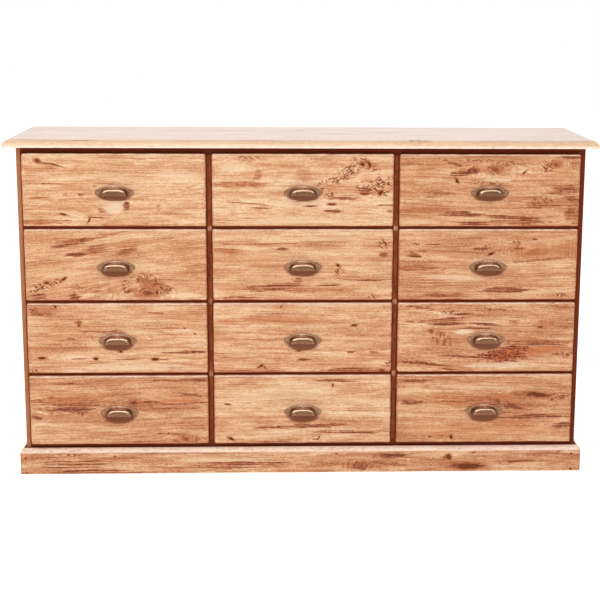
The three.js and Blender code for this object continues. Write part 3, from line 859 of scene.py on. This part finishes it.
def add_block(bm, low, high):
    """Add a block between two corners, and return its vertices."""
    size = high - low
    block = bmesh.ops.create_cube(bm, size=1.0)["verts"]
    for vertex in block:
        vertex.co = Vector([low[i] + (vertex.co[i] + 0.5) * size[i] for i in range(3)])
    return block


def round_edges(bm, edges, offset, segments=2):
    bmesh.ops.bevel(bm, geom=edges, offset=offset, segments=segments, profile=0.5, affect="EDGES")


def finished(bm, name):
    mesh = bpy.data.meshes.new(name)
    bm.to_mesh(mesh)
    bm.free()
    return mesh


def mesh_of(bm, name):
    """Turn a finished bmesh into a mesh whose faces look outwards."""
    bmesh.ops.recalc_face_normals(bm, faces=bm.faces[:])
    return finished(bm, name)


def board_mesh(name, low, high, slices=()):
    """A board between two corners with its edges eased; slices are the axes it is cut across."""
    bm = bmesh.new()
    add_block(bm, low, high)
    round_edges(bm, bm.edges[:], EASE)
    for axis in slices:
        cross_cut(bm, axis, SLICE)
    if slices:
        worn(bm, low, high, BOARD_RUB, 3 * EASE)
    return finished(bm, name)


def runs_along(edge, axis):
    return abs(edge.verts[0].co[axis] - edge.verts[1].co[axis]) > MM


def drawer_front_mesh(name, low, high):
    """A drawer front: well rounded round its face and at its corners, eased at the back."""
    bm = bmesh.new()
    add_block(bm, low, high)
    round_edges(bm, [e for e in bm.edges if runs_along(e, 1)], FRONT_CORNER, 4)
    for at_y, offset, segments in ((low.y, FRONT_ROUND, 6), (high.y, EASE, 2)):
        rim = [e for e in bm.edges if all(abs(v.co.y - at_y) < HAIR for v in e.verts)]
        round_edges(bm, rim, offset, segments)
    cross_cut(bm, 0, FRONT_SLICE)
    cross_cut(bm, 2, FRONT_SLICE)
    worn(bm, low, high, FRONT_RUB, FRONT_RUB_REACH)
    return finished(bm, name)


def skin(bm, rings, closed):
    """Quads between neighbouring rings of vertices; a closed ring joins its last vertex to its first."""
    for ring, after in zip(rings, rings[1:]):
        last = len(ring) if closed else len(ring) - 1
        for i in range(last):
            k = (i + 1) % len(ring)
            bm.faces.new((ring[i], after[i], after[k], ring[k]))


def quarter(count):
    """Angles from 0 to a right angle in even steps."""
    return [math.pi / 2 * index / count for index in range(count + 1)]


# ---- the top and the plinth ----------------------------------------------------------------------
NOSE_DEPTH = 19 * MM
NOSE_RISE = 17 * MM
UNDER_NOSE = 4 * MM


def nose_profile(thick):
    """The top's edge as (inward from its outermost line, up): a small round below, a broad one above."""
    below = [(UNDER_NOSE * (1 - math.sin(a)), UNDER_NOSE * (1 - math.cos(a))) for a in quarter(4)]
    middle = [(0.0, UNDER_NOSE + 0.4 * MM)]
    above = [
        (NOSE_DEPTH * (1 - math.cos(a)), thick - NOSE_RISE + NOSE_RISE * math.sin(a))
        for a in quarter(10)
    ]
    return below + middle + above[1:]


def edge_route(corners):
    """Places round a run of (x, y, inward) corners, with the inward direction at each."""
    route = []
    for (start, inward), (end, inward_after) in zip(corners, corners[1:]):
        count = math.ceil((end - start).length / SLICE)
        straight = Vector([a if a == b else 0.0 for a, b in zip(inward, inward_after)])
        for index in range(count):
            route.append((start.lerp(end, index / count), straight if index else inward))
    route.append(corners[-1])
    return route


def nose_wax(under):
    """The yellower moulding of the top's edge: streaky, and palest low down where it is worn."""
    def lay(tree, colour, grain):
        height = (world_axis(tree, "Z") - under) / MM
        rubbed_and_lit = step(height, 21.5, 17.0)
        colour = blend_colour(rubbed_and_lit * limited(0.8 + 2.0 * grain.rough), colour, NOSE)
        streaky = step(grain.streak + 0.5 * grain.fibre + 0.4 * (grain.patch - 0.5), 0.02, 0.16)
        colour = blend_colour(rubbed_and_lit * streaky * 0.45, colour, NOSE_STREAK)
        palest = step(height, 9.5, 4.5) * limited(0.75 + 3.0 * grain.rough)
        colour = blend_colour(palest * 0.85, colour, NOSE_PALE)
        waxed_and_shaded = step(height, 2.2, 0.6) * 0.6
        return blend_colour(waxed_and_shaded, colour, WAX_AND_SHADE), waxed_and_shaded
    return lay


def top_board():
    """The top: a slab with a moulded edge along its front and ends."""
    low, high = node_box("top_panel")
    profile = nose_profile(high.z - low.z)
    corners = [
        (Vector((low.x, high.y)), Vector((1, 0))),
        (Vector((low.x, low.y)), Vector((1, 1))),
        (Vector((high.x, low.y)), Vector((-1, 1))),
        (Vector((high.x, high.y)), Vector((-1, 0))),
    ]
    bm = bmesh.new()
    rings = []
    for place, inward in edge_route(corners):
        ring = []
        for reach, up in profile:
            rub = 0.6 * MM * abs(noise.noise(Vector((place.x, place.y, up)) / (60 * MM)))
            at = place + inward * (reach + rub)
            at.y = min(at.y, high.y)
            ring.append(bm.verts.new((at.x, at.y, low.z + up)))
        rings.append(ring)
    skin(bm, rings, closed=False)
    bm.faces.new([ring[-1] for ring in rings])
    bm.faces.new([ring[0] for ring in reversed(rings)])
    bm.faces.new(rings[0] + list(reversed(rings[-1])))
    area = board_face(low, high, "TOP")
    material = pine_material("pine_top", "TOP", TOP_PINE, 31.0, area, MARKS["top_panel"], staves=148.0,
                             wax_and_light_layer=nose_wax(low.z))
    new_object("top_board", mesh_of(bm, "top_board"), material, "carcass", "stained_pine", "top_panel")


PLINTH_DEEP = 13 * MM
PLINTH_DOWN = 15 * MM
PLINTH_THICK = 15.7 * MM
PLINTH_END = 100 * MM  # a plinth board wider than this is the front one, whose ends are darkened


def plinth_profile(height):
    """A plinth board's section as (inward from its face, up), with a rounded top edge."""
    curve = [
        (PLINTH_DEEP * (1 - math.cos(a)), height - PLINTH_DOWN + PLINTH_DOWN * math.sin(a))
        for a in quarter(8)
    ]
    foot = 0.6 * MM
    return [(0.0, foot), *curve, (PLINTH_THICK, height), (PLINTH_THICK, 0.0), (foot, 0.0)]


def plinth():
    """Three plinth boards, mitred at the front corners."""
    low, high = node_box("plinth_front")
    back = node_box("plinth_left")[1].y
    left_front, right_front = Vector((low.x, low.y)), Vector((high.x, low.y))
    left_back, right_back = Vector((low.x, back)), Vector((high.x, back))
    runs = {
        "plinth_front": ((left_front, Vector((1, 1))), (right_front, Vector((-1, 1)))),
        "plinth_right": ((right_front, Vector((-1, 1))), (right_back, Vector((-1, 0)))),
        "plinth_left": ((left_back, Vector((1, 0))), (left_front, Vector((1, 1)))),
    }
    profile = plinth_profile(high.z)
    for index, (name, corners) in enumerate(runs.items()):
        along = "X" if name == "plinth_front" else "Y"
        bm = bmesh.new()
        rings = []
        for place, inward in edge_route(list(corners)):
            shifted = [place + inward * reach for reach, _ in profile]
            rings.append([bm.verts.new((at.x, at.y, up)) for at, (_, up) in zip(shifted, profile)])
        skin(bm, rings, closed=True)
        bm.faces.new(rings[0])
        bm.faces.new(list(reversed(rings[-1])))
        board_low, board_high = node_box(name)
        area = board_face(board_low, board_high, along)
        wax_and_light_layer = plinth_highlight_and_shade(board_low.x, board_high.x)
        material = pine_material("pine_" + name, along, PLINTH_PINE, 41.0 + 6 * index, area,
                                 MARKS.get(name, ()), tone=-0.06, wax_and_light_layer=wax_and_light_layer)
        board_name = name + "_board"
        new_object(board_name, mesh_of(bm, board_name), material, "carcass", "stained_pine", name)


def plinth_highlight_and_shade(left, right):
    """Painted shade, waxed dark, in the corner behind the plinth's rounded top edge.

    That edge has a painted highlight, and the front board's ends are darkened.
    """
    def lay(tree, colour, grain):
        height = world_axis(tree, "Z") / MM
        # painted highlight along the rounded top edge
        rubbed_and_lit = step(height, 58.0, 63.0) * limited(0.85 + 2.4 * grain.rough + 2.0 * (grain.patch - 0.5))
        colour = blend_colour(rubbed_and_lit * 0.95, colour, PLINTH_HIGHLIGHT)
        # the front board's ends are darkened
        ends = 0.0
        if right - left > PLINTH_END:
            off = off_from(world_axis(tree, "X"), (left + right) / 2)
            half = (right - left) / 2
            ends = step(off, half - 2.6 * MM, half - 0.8 * MM) * 0.8
        # the top back corner under the carcass: waxed dark, and painted shade
        inner = larger(step(height, 73.0, 73.9), ends)
        return blend_colour(inner, colour, WAX_AND_SHADE), inner
    return lay


# ---- metal ---------------------------------------------------------------------------------------
def aged_brass():
    """Brown-bronzed brass: dark in the hollows, brighter where the mesh says it is worn.

    The same mesh value also paints highlights and shade on the cup.
    """
    material, tree, shader = new_material("aged_brass")
    place = node(tree, "TexCoord", {}, output="Object")
    wear_and_light = node(tree, "Attribute", {}, output="Fac", attribute_name="wear_and_light")
    cloudy = node(tree, "TexNoise", {"Vector": place, "Scale": 160.0, "Detail": 3.0, "Roughness": 0.6})
    fine = node(tree, "TexNoise", {"Vector": place, "Scale": 1400.0, "Detail": 2.0})
    rubbed_and_lit = limited(wear_and_light + 0.5 * (cloudy - 0.5) + 0.3 * (fine - 0.5))
    colour = colour_ramp(rubbed_and_lit, (
        (0.0, tint(58, 32, 19)),
        (0.35, tint(104, 68, 45)),
        (0.6, tint(140, 99, 70)),
        (0.8, tint(194, 148, 118)),
        (1.0, tint(255, 224, 194)),
    ))
    feed(shader.inputs["Base Color"], colour)
    # less metallic where brightest, so painted highlights show pale
    feed(shader.inputs["Metallic"], 0.85 - 0.6 * step(rubbed_and_lit, 0.72, 0.98))
    feed(shader.inputs["Roughness"], 0.42 - 0.12 * wear_and_light + 0.16 * (cloudy - 0.5))
    feed(shader.inputs["Normal"], bump(cloudy * 0.6 + fine * 0.4, 0.12 * MM, 0.5))
    return material


EAR_X, EAR_Z = 44.5 * MM, 7.6 * MM
PLATE_THICK = 2.4 * MM
CUP_HALF, CUP_RISE, CUP_REACH, CUP_WALL = 35 * MM, 20.5 * MM, 22 * MM, 1.8 * MM
LIP_LIFT = 1.5 * MM  # how much higher the lip is at the front than at the plate
CUP_OUTLINE = 2.8  # 2 would make the cup's outline an ellipse, more makes it squarer
CUP_FULLNESS = 5.0  # the same for its section
SHOULDER = 0.53  # place of the cup's painted highlight ring: 0 at the plate, 1 at the middle of its face
# the right half of the plate's outline from the lip's level to its crown, in millimetres
PLATE_OUTLINE = (
    (46.0, 0.0), (50.4, 2.6), (52.0, 7.6), (50.2, 12.2), (45.4, 15.8),
    (38.0, 19.4), (28.0, 23.2), (15.0, 26.2), (0.0, 27.4),
)
STEPS_PER_SPAN = 4


def smooth_curve(points):
    """Places on a Catmull-Rom curve through the points."""
    ends = [points[0] * 2 - points[1], *points, points[-1] * 2 - points[-2]]
    places = []
    for before, start, end, after in zip(ends, ends[1:], ends[2:], ends[3:]):
        for index in range(STEPS_PER_SPAN):
            t = index / STEPS_PER_SPAN
            bend = 2 * start + (end - before) * t + (2 * before - 5 * start + 4 * end - after) * t ** 2
            places.append((bend + (3 * start - before - 3 * end + after) * t ** 3) / 2)
    return [*places, points[-1]]


def plate_outline():
    """The whole plate outline, from its right end over the crown to its left end."""
    right = [Vector(point) * MM for point in PLATE_OUTLINE]
    left = [Vector((-point.x, point.y)) for point in reversed(right[:-1])]
    return smooth_curve(right + left)


def cup_rows(cup, reach):
    """The cup's section from its foot nearly to its middle, as (distance, out, place) rows."""
    count = 18
    rows = []
    for index in range(1, count):
        place = index / count
        turn = math.pi / 2 * place
        share = math.cos(turn) ** (2 / CUP_FULLNESS)
        out = reach * math.sin(turn) ** (2 / CUP_FULLNESS)
        rows.append((cup * share, out, place))
    return rows


def pull_rows(point):
    """Radial slices of the pull towards an outline point: the outside and the inside of the cup.

    Each row is (distance from the lip's middle, distance out from the drawer, worn and painted light).
    """
    side = point.normalized()
    edge = point.length
    across, up = abs(side.x / CUP_HALF), abs(side.y / CUP_RISE)
    cup = (across ** CUP_OUTLINE + up ** CUP_OUTLINE) ** (-1 / CUP_OUTLINE)
    groove = cup + 1.3 * MM
    crown = max(0.0, side.y)
    lit = min(1.0, max(0.0, (crown - 0.20) / 0.25))
    # the plate is paler towards its crown: worn, and painted with a highlight
    plate_wear_and_sheen = 0.60 + 0.26 * crown ** 2
    outside = [
        (edge, 0.0, 0.1),
        (edge, PLATE_THICK * 0.5, 0.25 + 0.3 * crown),
        (edge - 0.4 * MM, PLATE_THICK * 0.85, plate_wear_and_sheen),
        (edge - 1.2 * MM, PLATE_THICK, plate_wear_and_sheen + 0.05),
        (edge - 0.55 * (edge - groove), PLATE_THICK * 0.92, plate_wear_and_sheen),
        (groove + 0.8 * MM, PLATE_THICK, plate_wear_and_sheen),
        # the groove darkens towards the sides: painted shade
        (groove, PLATE_THICK * 0.85, 0.35 + 0.5 * crown),
        (cup + 0.3 * MM, PLATE_THICK * 0.85, 0.35 + 0.5 * crown),
    ]
    for distance, out, place in cup_rows(cup, CUP_REACH):
        if out > PLATE_THICK:
            # a painted highlight along the cup's shoulder, strongest over the crown
            shine = math.exp(-((place - SHOULDER - 0.06 * crown) / 0.11) ** 2)
            # painted shade: the face darkens towards the lip, the foot towards the cup's sides
            face_wear_and_shade = 0.60 - 0.12 * max(0.0, place - SHOULDER)
            foot_wear_and_shade = 0.35 + 0.5 * crown
            rise = min(1.0, place / SHOULDER)
            body = foot_wear_and_shade + (face_wear_and_shade - foot_wear_and_shade) * rise
            outside.append((distance, out, body + (0.05 + 0.42 * lit) * shine))
    inner = cup - CUP_WALL
    inside = [(distance, out, 0.1) for distance, out, _ in cup_rows(inner, CUP_REACH - CUP_WALL)]
    return side, outside, [(inner, 0.0, 0.0), *inside]


def cup_pull_mesh(name, origin):
    """A cup pull in one casting: plate with ears, groove, and a hollow cup open below."""
    bm = bmesh.new()
    wear_and_light = bm.verts.layers.float.new("wear_and_light")

    def put(x, z, out, worth):
        raised = LIP_LIFT * out / CUP_REACH * max(0.0, 1 - z / CUP_RISE)
        vertex = bm.verts.new((origin.x + x, origin.y - out, origin.z + z + raised))
        vertex[wear_and_light] = worth
        return vertex

    outer, inner = [], []
    for point in plate_outline():
        side, outside, inside = pull_rows(point)
        outer.append([put(side.x * d, side.y * d, out, worth) for d, out, worth in outside])
        inner.append([put(side.x * d, side.y * d, out, worth) for d, out, worth in inside])
    crown_out = put(0, 0, CUP_REACH, 0.55)
    crown_in = put(0, 0, CUP_REACH - CUP_WALL, 0.1)
    for sheet, crown in ((outer, crown_out), (inner, crown_in)):
        skin(bm, sheet, closed=False)
        for ring, after in zip(sheet, sheet[1:]):
            bm.faces.new((ring[-1], after[-1], crown))
    for ring, inside in ((outer[0], inner[0]), (outer[-1], inner[-1])):
        bm.faces.new([*ring, crown_out, crown_in, *reversed(inside)])
    skin(bm, [(ring[0], inside[0]) for ring, inside in zip(outer, inner)], closed=False)
    return mesh_of(bm, name)


SCREW_RADIUS = 3.0 * MM
SCREW_RISE = 1.4 * MM
SLOT_HALF = 0.4 * MM
SLOT_DEPTH = 0.7 * MM
SLOT_WALL = 0.1 * MM
SCREW_SIDES = 20
SCREW_DOME = ((1.0, 0.0), (0.98, 0.35), (0.85, 0.62), (0.6, 0.85), (0.3, 0.97))  # (radius, rise) shares


def screw_mesh(name, origin, turn):
    """A domed slotted screw head facing -Y, its slot turned by an angle."""
    bm = bmesh.new()
    wear_and_light = bm.verts.layers.float.new("wear_and_light")
    rings = []
    for share, rise in SCREW_DOME:
        turns = [math.tau * index / SCREW_SIDES for index in range(SCREW_SIDES)]
        radius = SCREW_RADIUS * share
        circle = [(radius * math.cos(a), radius * math.sin(a)) for a in turns]
        rings.append([bm.verts.new((x, -SCREW_RISE * rise, z)) for x, z in circle])
    skin(bm, rings, closed=True)
    bm.faces.new(rings[-1])
    bm.faces.new(list(reversed(rings[0])))
    across = Vector((math.cos(turn), 0.0, math.sin(turn)))
    for offset in (-SLOT_HALF - SLOT_WALL, -SLOT_HALF, SLOT_HALF, SLOT_HALF + SLOT_WALL):
        geometry = bm.verts[:] + bm.edges[:] + bm.faces[:]
        bmesh.ops.bisect_plane(bm, geom=geometry, plane_co=across * offset, plane_no=across)
    for vertex in bm.verts:
        in_slot = abs(vertex.co.dot(across)) < SLOT_HALF + SLOT_WALL / 2
        sunk = in_slot and vertex.co.y < -SLOT_WALL
        vertex[wear_and_light] = 0.0 if sunk else 0.75
        if sunk:
            vertex.co.y = min(vertex.co.y + SLOT_DEPTH, -SLOT_WALL)
        vertex.co += origin
    return mesh_of(bm, name)


# ---- the pieces ----------------------------------------------------------------------------------
def carcass_boards():
    """The plain boards of the carcass, each standing for its CAD node."""
    panels = ("left_side_panel", "right_side_panel")
    # each board's dark waxed edges, with their painted shade and painted light
    wax_and_light_layers = {
        "left_side_panel": carcass_wax_and_light(lit_beyond=middle_x("left_side_panel")),
        "left_partition": carcass_wax_and_light(middle=middle_x("left_partition")),
        "right_partition": carcass_wax_and_light(middle=middle_x("right_partition")),
    }
    uprights = (*panels, "left_partition", "right_partition")
    for index, name in enumerate((*uprights, "bottom_panel", "top_front_rail")):
        low, high = node_box(name)
        upright = name in uprights
        along = "SIDE" if upright else "X"
        material = pine_material("pine_" + name, along, STAINED, 61.0 + 5 * index,
                                 board_face(low, high, along), MARKS.get(name, ()),
                                 staves=132.0 if upright else None,
                                 wax_and_light_layer=wax_and_light_layers.get(name, carcass_wax_and_light()))
        board_name = name + "_board"
        mesh = board_mesh(board_name, low, high, (2,) if upright else (0,))
        new_object(board_name, mesh, material, "carcass", "stained_pine", name)
    for index, name in enumerate(("top_rear_rail", "base_front_rail", "base_rear_rail")):
        low, high = node_box(name)
        board_name = name + "_board"
        area = board_face(low, high, "X")
        material = pine_material("raw_pine_" + name, "X", RAW, 3.0 + 5 * index, area)
        mesh = board_mesh(board_name, low, high)
        new_object(board_name, mesh, material, "carcass", "raw_pine", name)


def back_boards():
    """The back: upright boards with a groove at every joint."""
    low, high = node_box("back_panel")
    count = round((high.x - low.x) / BACK_BOARD)
    width = (high.x - low.x) / count
    bm = bmesh.new()
    for index in range(count):
        left = low.x + width * index
        corner_a = Vector((left + HAIR, low.y, low.z))
        corner_b = Vector((left + width - HAIR, high.y, high.z))
        block = add_block(bm, corner_a, corner_b)
        upright = [e for e in bm.edges if e.verts[0] in block and runs_along(e, 2)]
        round_edges(bm, upright, BACK_GROOVE)
    area = board_face(low, high, "BACK")
    material = pine_material("pine_back", "BACK", BACK_PINE, 91.0, area, MARKS["back_panel"],
                             staves=width / MM)
    mesh = mesh_of(bm, "back_boards")
    new_object("back_boards", mesh, material, "carcass", "back_board", "back_panel")


def runner_frames():
    """Each runner frame as its five boards."""
    low, high = node_box("runner_frame_r1c1")
    # the rails' fronts are darkened: waxed dark, and painted shade in the gaps between the drawers
    rail = pine_material("pine_runner_rail", "X", STAINED, 23.0, board_face(low, high, "X"),
                         wax_and_light_layer=carcass_wax_and_light(base=RAIL_WAX_AND_SHADE))
    runner = pine_material("raw_pine_runner", "Y", RAW, 29.0, board_face(low, high, "Y"))
    for row in ROWS[:-1]:
        for column in COLUMNS:
            frame_name = f"runner_frame_r{row}c{column}"
            low, high = node_box(frame_name)
            middle = (low.x + high.x - RUNNER_WIDTH) / 2
            front, back = low.y + RAIL_DEPTH + HAIR, high.y - RAIL_DEPTH - HAIR
            boards = {
                "front_rail": (low, Vector((high.x, low.y + RAIL_DEPTH, high.z)), rail),
                "rear_rail": (Vector((low.x, high.y - RAIL_DEPTH, low.z)), high, rail),
            }
            for label, x in (("left", low.x), ("middle", middle), ("right", high.x - RUNNER_WIDTH)):
                corner_a, corner_b = Vector((x, front, low.z)), Vector((x + RUNNER_WIDTH, back, high.z))
                boards[label + "_runner"] = (corner_a, corner_b, runner)
            for label, (corner_a, corner_b, material) in boards.items():
                board_name = f"{frame_name}_{label}"
                slices = (0,) if label == "front_rail" else ()
                mesh = board_mesh(board_name, corner_a, corner_b, slices)
                new_object(board_name, mesh, material, "carcass", "raw_pine", frame_name)


def drawer_tray(tag, body):
    """The four boards behind a drawer front."""
    node_name = f"drawer_tray_{tag}"
    low, high = node_box(node_name)
    inner_left, inner_right = low.x + TRAY_SIDE + HAIR, high.x - TRAY_SIDE - HAIR
    floor_top = low.z + TRAY_BOTTOM_UP + TRAY_BOTTOM
    boards = {
        "left_side": (low, Vector((low.x + TRAY_SIDE, high.y, high.z)), "Y"),
        "right_side": (Vector((high.x - TRAY_SIDE, low.y, low.z)), high, "Y"),
        "back": (Vector((inner_left, high.y - TRAY_SIDE, floor_top + HAIR)),
                 Vector((inner_right, high.y, high.z)), "X"),
        "bottom": (Vector((inner_left, low.y, low.z + TRAY_BOTTOM_UP)),
                   Vector((inner_right, high.y, floor_top)), "TOP"),
    }
    for step_on, (label, (corner_a, corner_b, along)) in enumerate(boards.items()):
        board_name = f"{node_name}_{label}"
        mesh = board_mesh(board_name, corner_a, corner_b)
        shift = 7.0 + 3.0 * step_on
        material = tray_material(along, shift, low, high)
        new_object(board_name, mesh, material, body, "raw_pine", node_name)


def tray_material(along, shift, low, high):
    """One raw pine for all the tray boards that run the same way."""
    name = f"raw_pine_tray_{along}_{shift:.0f}"
    made = bpy.data.materials.get(name)
    return made or pine_material(name, along, RAW, shift, board_face(low, high, along), staves=118.0)


def drawer(row, column, index, brass):
    """One drawer: its front, tray, pull and pull screws."""
    tag = f"r{row}c{column}"
    body = f"drawer_{tag}"
    low, high = node_box(f"drawer_front_{tag}")
    # the painted shadow below the pull reaches farther down on lower rows
    shade = PULL_SHADE._replace(high=PULL_SHADE.high + SHADE_GROWTH * (row - 1))
    material = pine_material(f"pine_front_{tag}", "X", STAINED, 100.0 + 17 * index,
                             board_face(low, high, "X"), (*MARKS[tag], shade), LEANS.get(tag, 0.0),
                             TONES.get(tag, 0.0), wax_and_light_layer=front_wax_and_light(low, high))
    mesh = drawer_front_mesh(f"front_board_{tag}", low, high)
    new_object(f"front_board_{tag}", mesh, material, body, "stained_pine", f"drawer_front_{tag}")
    drawer_tray(tag, body)
    pull_low, pull_high = node_box(f"cup_pull_{tag}")
    origin = Vector(((pull_low.x + pull_high.x) / 2, pull_high.y, pull_low.z))
    pull = cup_pull_mesh(f"pull_{tag}", origin)
    new_object(f"pull_{tag}", pull, brass, body, "aged_brass", f"cup_pull_{tag}")
    for side, label in ((-1, "left"), (1, "right")):
        seat = origin + Vector((side * EAR_X, -PLATE_THICK * 0.9, EAR_Z))
        name = f"pull_screw_{label}_{tag}"
        screw = screw_mesh(name, seat, 2.4 * index + 1.3 * side)
        new_object(name, screw, brass, body, "aged_brass")


# ---- light, floor and camera ---------------------------------------------------------------------
FOCAL_LENGTH = 85.5  # in millimetres, like the sensor's width
SENSOR_WIDTH = 36.0
SHIFT_X, SHIFT_Y = -0.0577, -0.0093
YAW, PITCH, ROLL = 2.374, 11.496, 0.363  # in degrees
CAMERA_LEFT = 0.0714  # how far the camera is left of the middle
CAMERA_OFF = 3.8385  # in front of the carcass
CAMERA_UP = 1.2878  # and above the floor
FAR = 100.0  # nothing farther than this is drawn
FLOOR_HALF = 14.0


def camera():
    """The photograph's viewpoint: nearly square on, a little left of the middle and from above."""
    lens = bpy.data.cameras.new("camera")
    lens.sensor_width = SENSOR_WIDTH
    lens.lens = FOCAL_LENGTH
    lens.shift_x = SHIFT_X
    lens.shift_y = SHIFT_Y
    lens.clip_end = FAR
    yaw, pitch, roll = (math.radians(angle) for angle in (YAW, PITCH, ROLL))
    forward = Vector((
        math.sin(yaw) * math.cos(pitch),
        math.cos(yaw) * math.cos(pitch),
        -math.sin(pitch),
    ))
    level = Vector((math.cos(yaw), -math.sin(yaw), 0.0))
    upright = level.cross(forward)
    right = level * math.cos(roll) + upright * math.sin(roll)
    up = upright * math.cos(roll) - level * math.sin(roll)
    turn = Matrix((right, up, -forward)).transposed().to_4x4()
    place = Vector((-CAMERA_LEFT, CARCASS_FRONT - CAMERA_OFF, CAMERA_UP))
    holder = bpy.data.objects.new("camera", lens)
    bpy.context.scene.collection.objects.link(holder)
    holder.matrix_world = Matrix.Translation(place) @ turn
    bpy.context.scene.camera = holder


def soft_light(name, place, target, size, power, colour):
    """A softbox, size being its width and height."""
    lamp = bpy.data.lights.new(name, "AREA")
    lamp.shape = "RECTANGLE"
    lamp.size, lamp.size_y = size
    lamp.energy = power
    lamp.color = colour
    holder = bpy.data.objects.new(name, lamp)
    bpy.context.scene.collection.objects.link(holder)
    holder.location = place
    holder.rotation_euler = (Vector(target) - Vector(place)).to_track_quat("-Z", "Y").to_euler()


def studio_world():
    """A room that is white behind the furniture and overhead, and dimmer in front of it."""
    world = bpy.data.worlds.new("studio")
    world.use_nodes = True
    tree = world.node_tree
    background = tree.nodes["Background"]
    background.inputs["Color"].default_value = (1.0, 1.0, 1.0, 1.0)
    towards = node(tree, "TexCoord", {}, output="Generated")
    behind = node(tree, "SeparateXYZ", (towards,), output="Y")
    above = node(tree, "SeparateXYZ", (towards,), output="Z")
    white = larger(step(behind, -0.1, 0.3), step(above, 0.35, 0.85) * 0.7)
    room = DIM_ROOM + (1.0 - DIM_ROOM) * white
    seen = node(tree, "LightPath", {}, output="Is Camera Ray")
    feed(background.inputs["Strength"], larger(room, seen))
    return world


def studio():
    scene = bpy.context.scene
    scene.view_settings.view_transform = "Standard"
    scene.world = studio_world()
    soft_light("key", place=(-0.9, -3.2, 3.0), target=(0, 0, 0.5), size=(3.2, 1.2), power=56.0,
               colour=(1.0, 0.98, 0.95))
    soft_light("back", place=(0.0, 2.4, 2.6), target=(0, 0, 0.9), size=(2.4, 2.4), power=5.0,
               colour=(1.0, 1.0, 1.0))
    material, _, shader = new_material("floor")
    shader.inputs["Base Color"].default_value = (0.9, 0.9, 0.9, 1.0)
    shader.inputs["Roughness"].default_value = 0.9
    shader.inputs["Emission Color"].default_value = (1.0, 1.0, 1.0, 1.0)
    shader.inputs["Emission Strength"].default_value = 0.55
    mesh = bpy.data.meshes.new("floor")
    corners = [(x * FLOOR_HALF, y * FLOOR_HALF, 0) for x, y in ((-1, -1), (1, -1), (1, 1), (-1, 1))]
    mesh.from_pydata(corners, [], [(0, 1, 2, 3)])
    mesh.materials.append(material)
    floor = bpy.data.objects.new("floor", mesh)
    scene.collection.objects.link(floor)


studio()
camera()
top_board()
plinth()
carcass_boards()
back_boards()
runner_frames()
bronze = aged_brass()
for row in ROWS:
    for column in COLUMNS:
        drawer(row, column, len(COLUMNS) * (row - 1) + column, bronze)
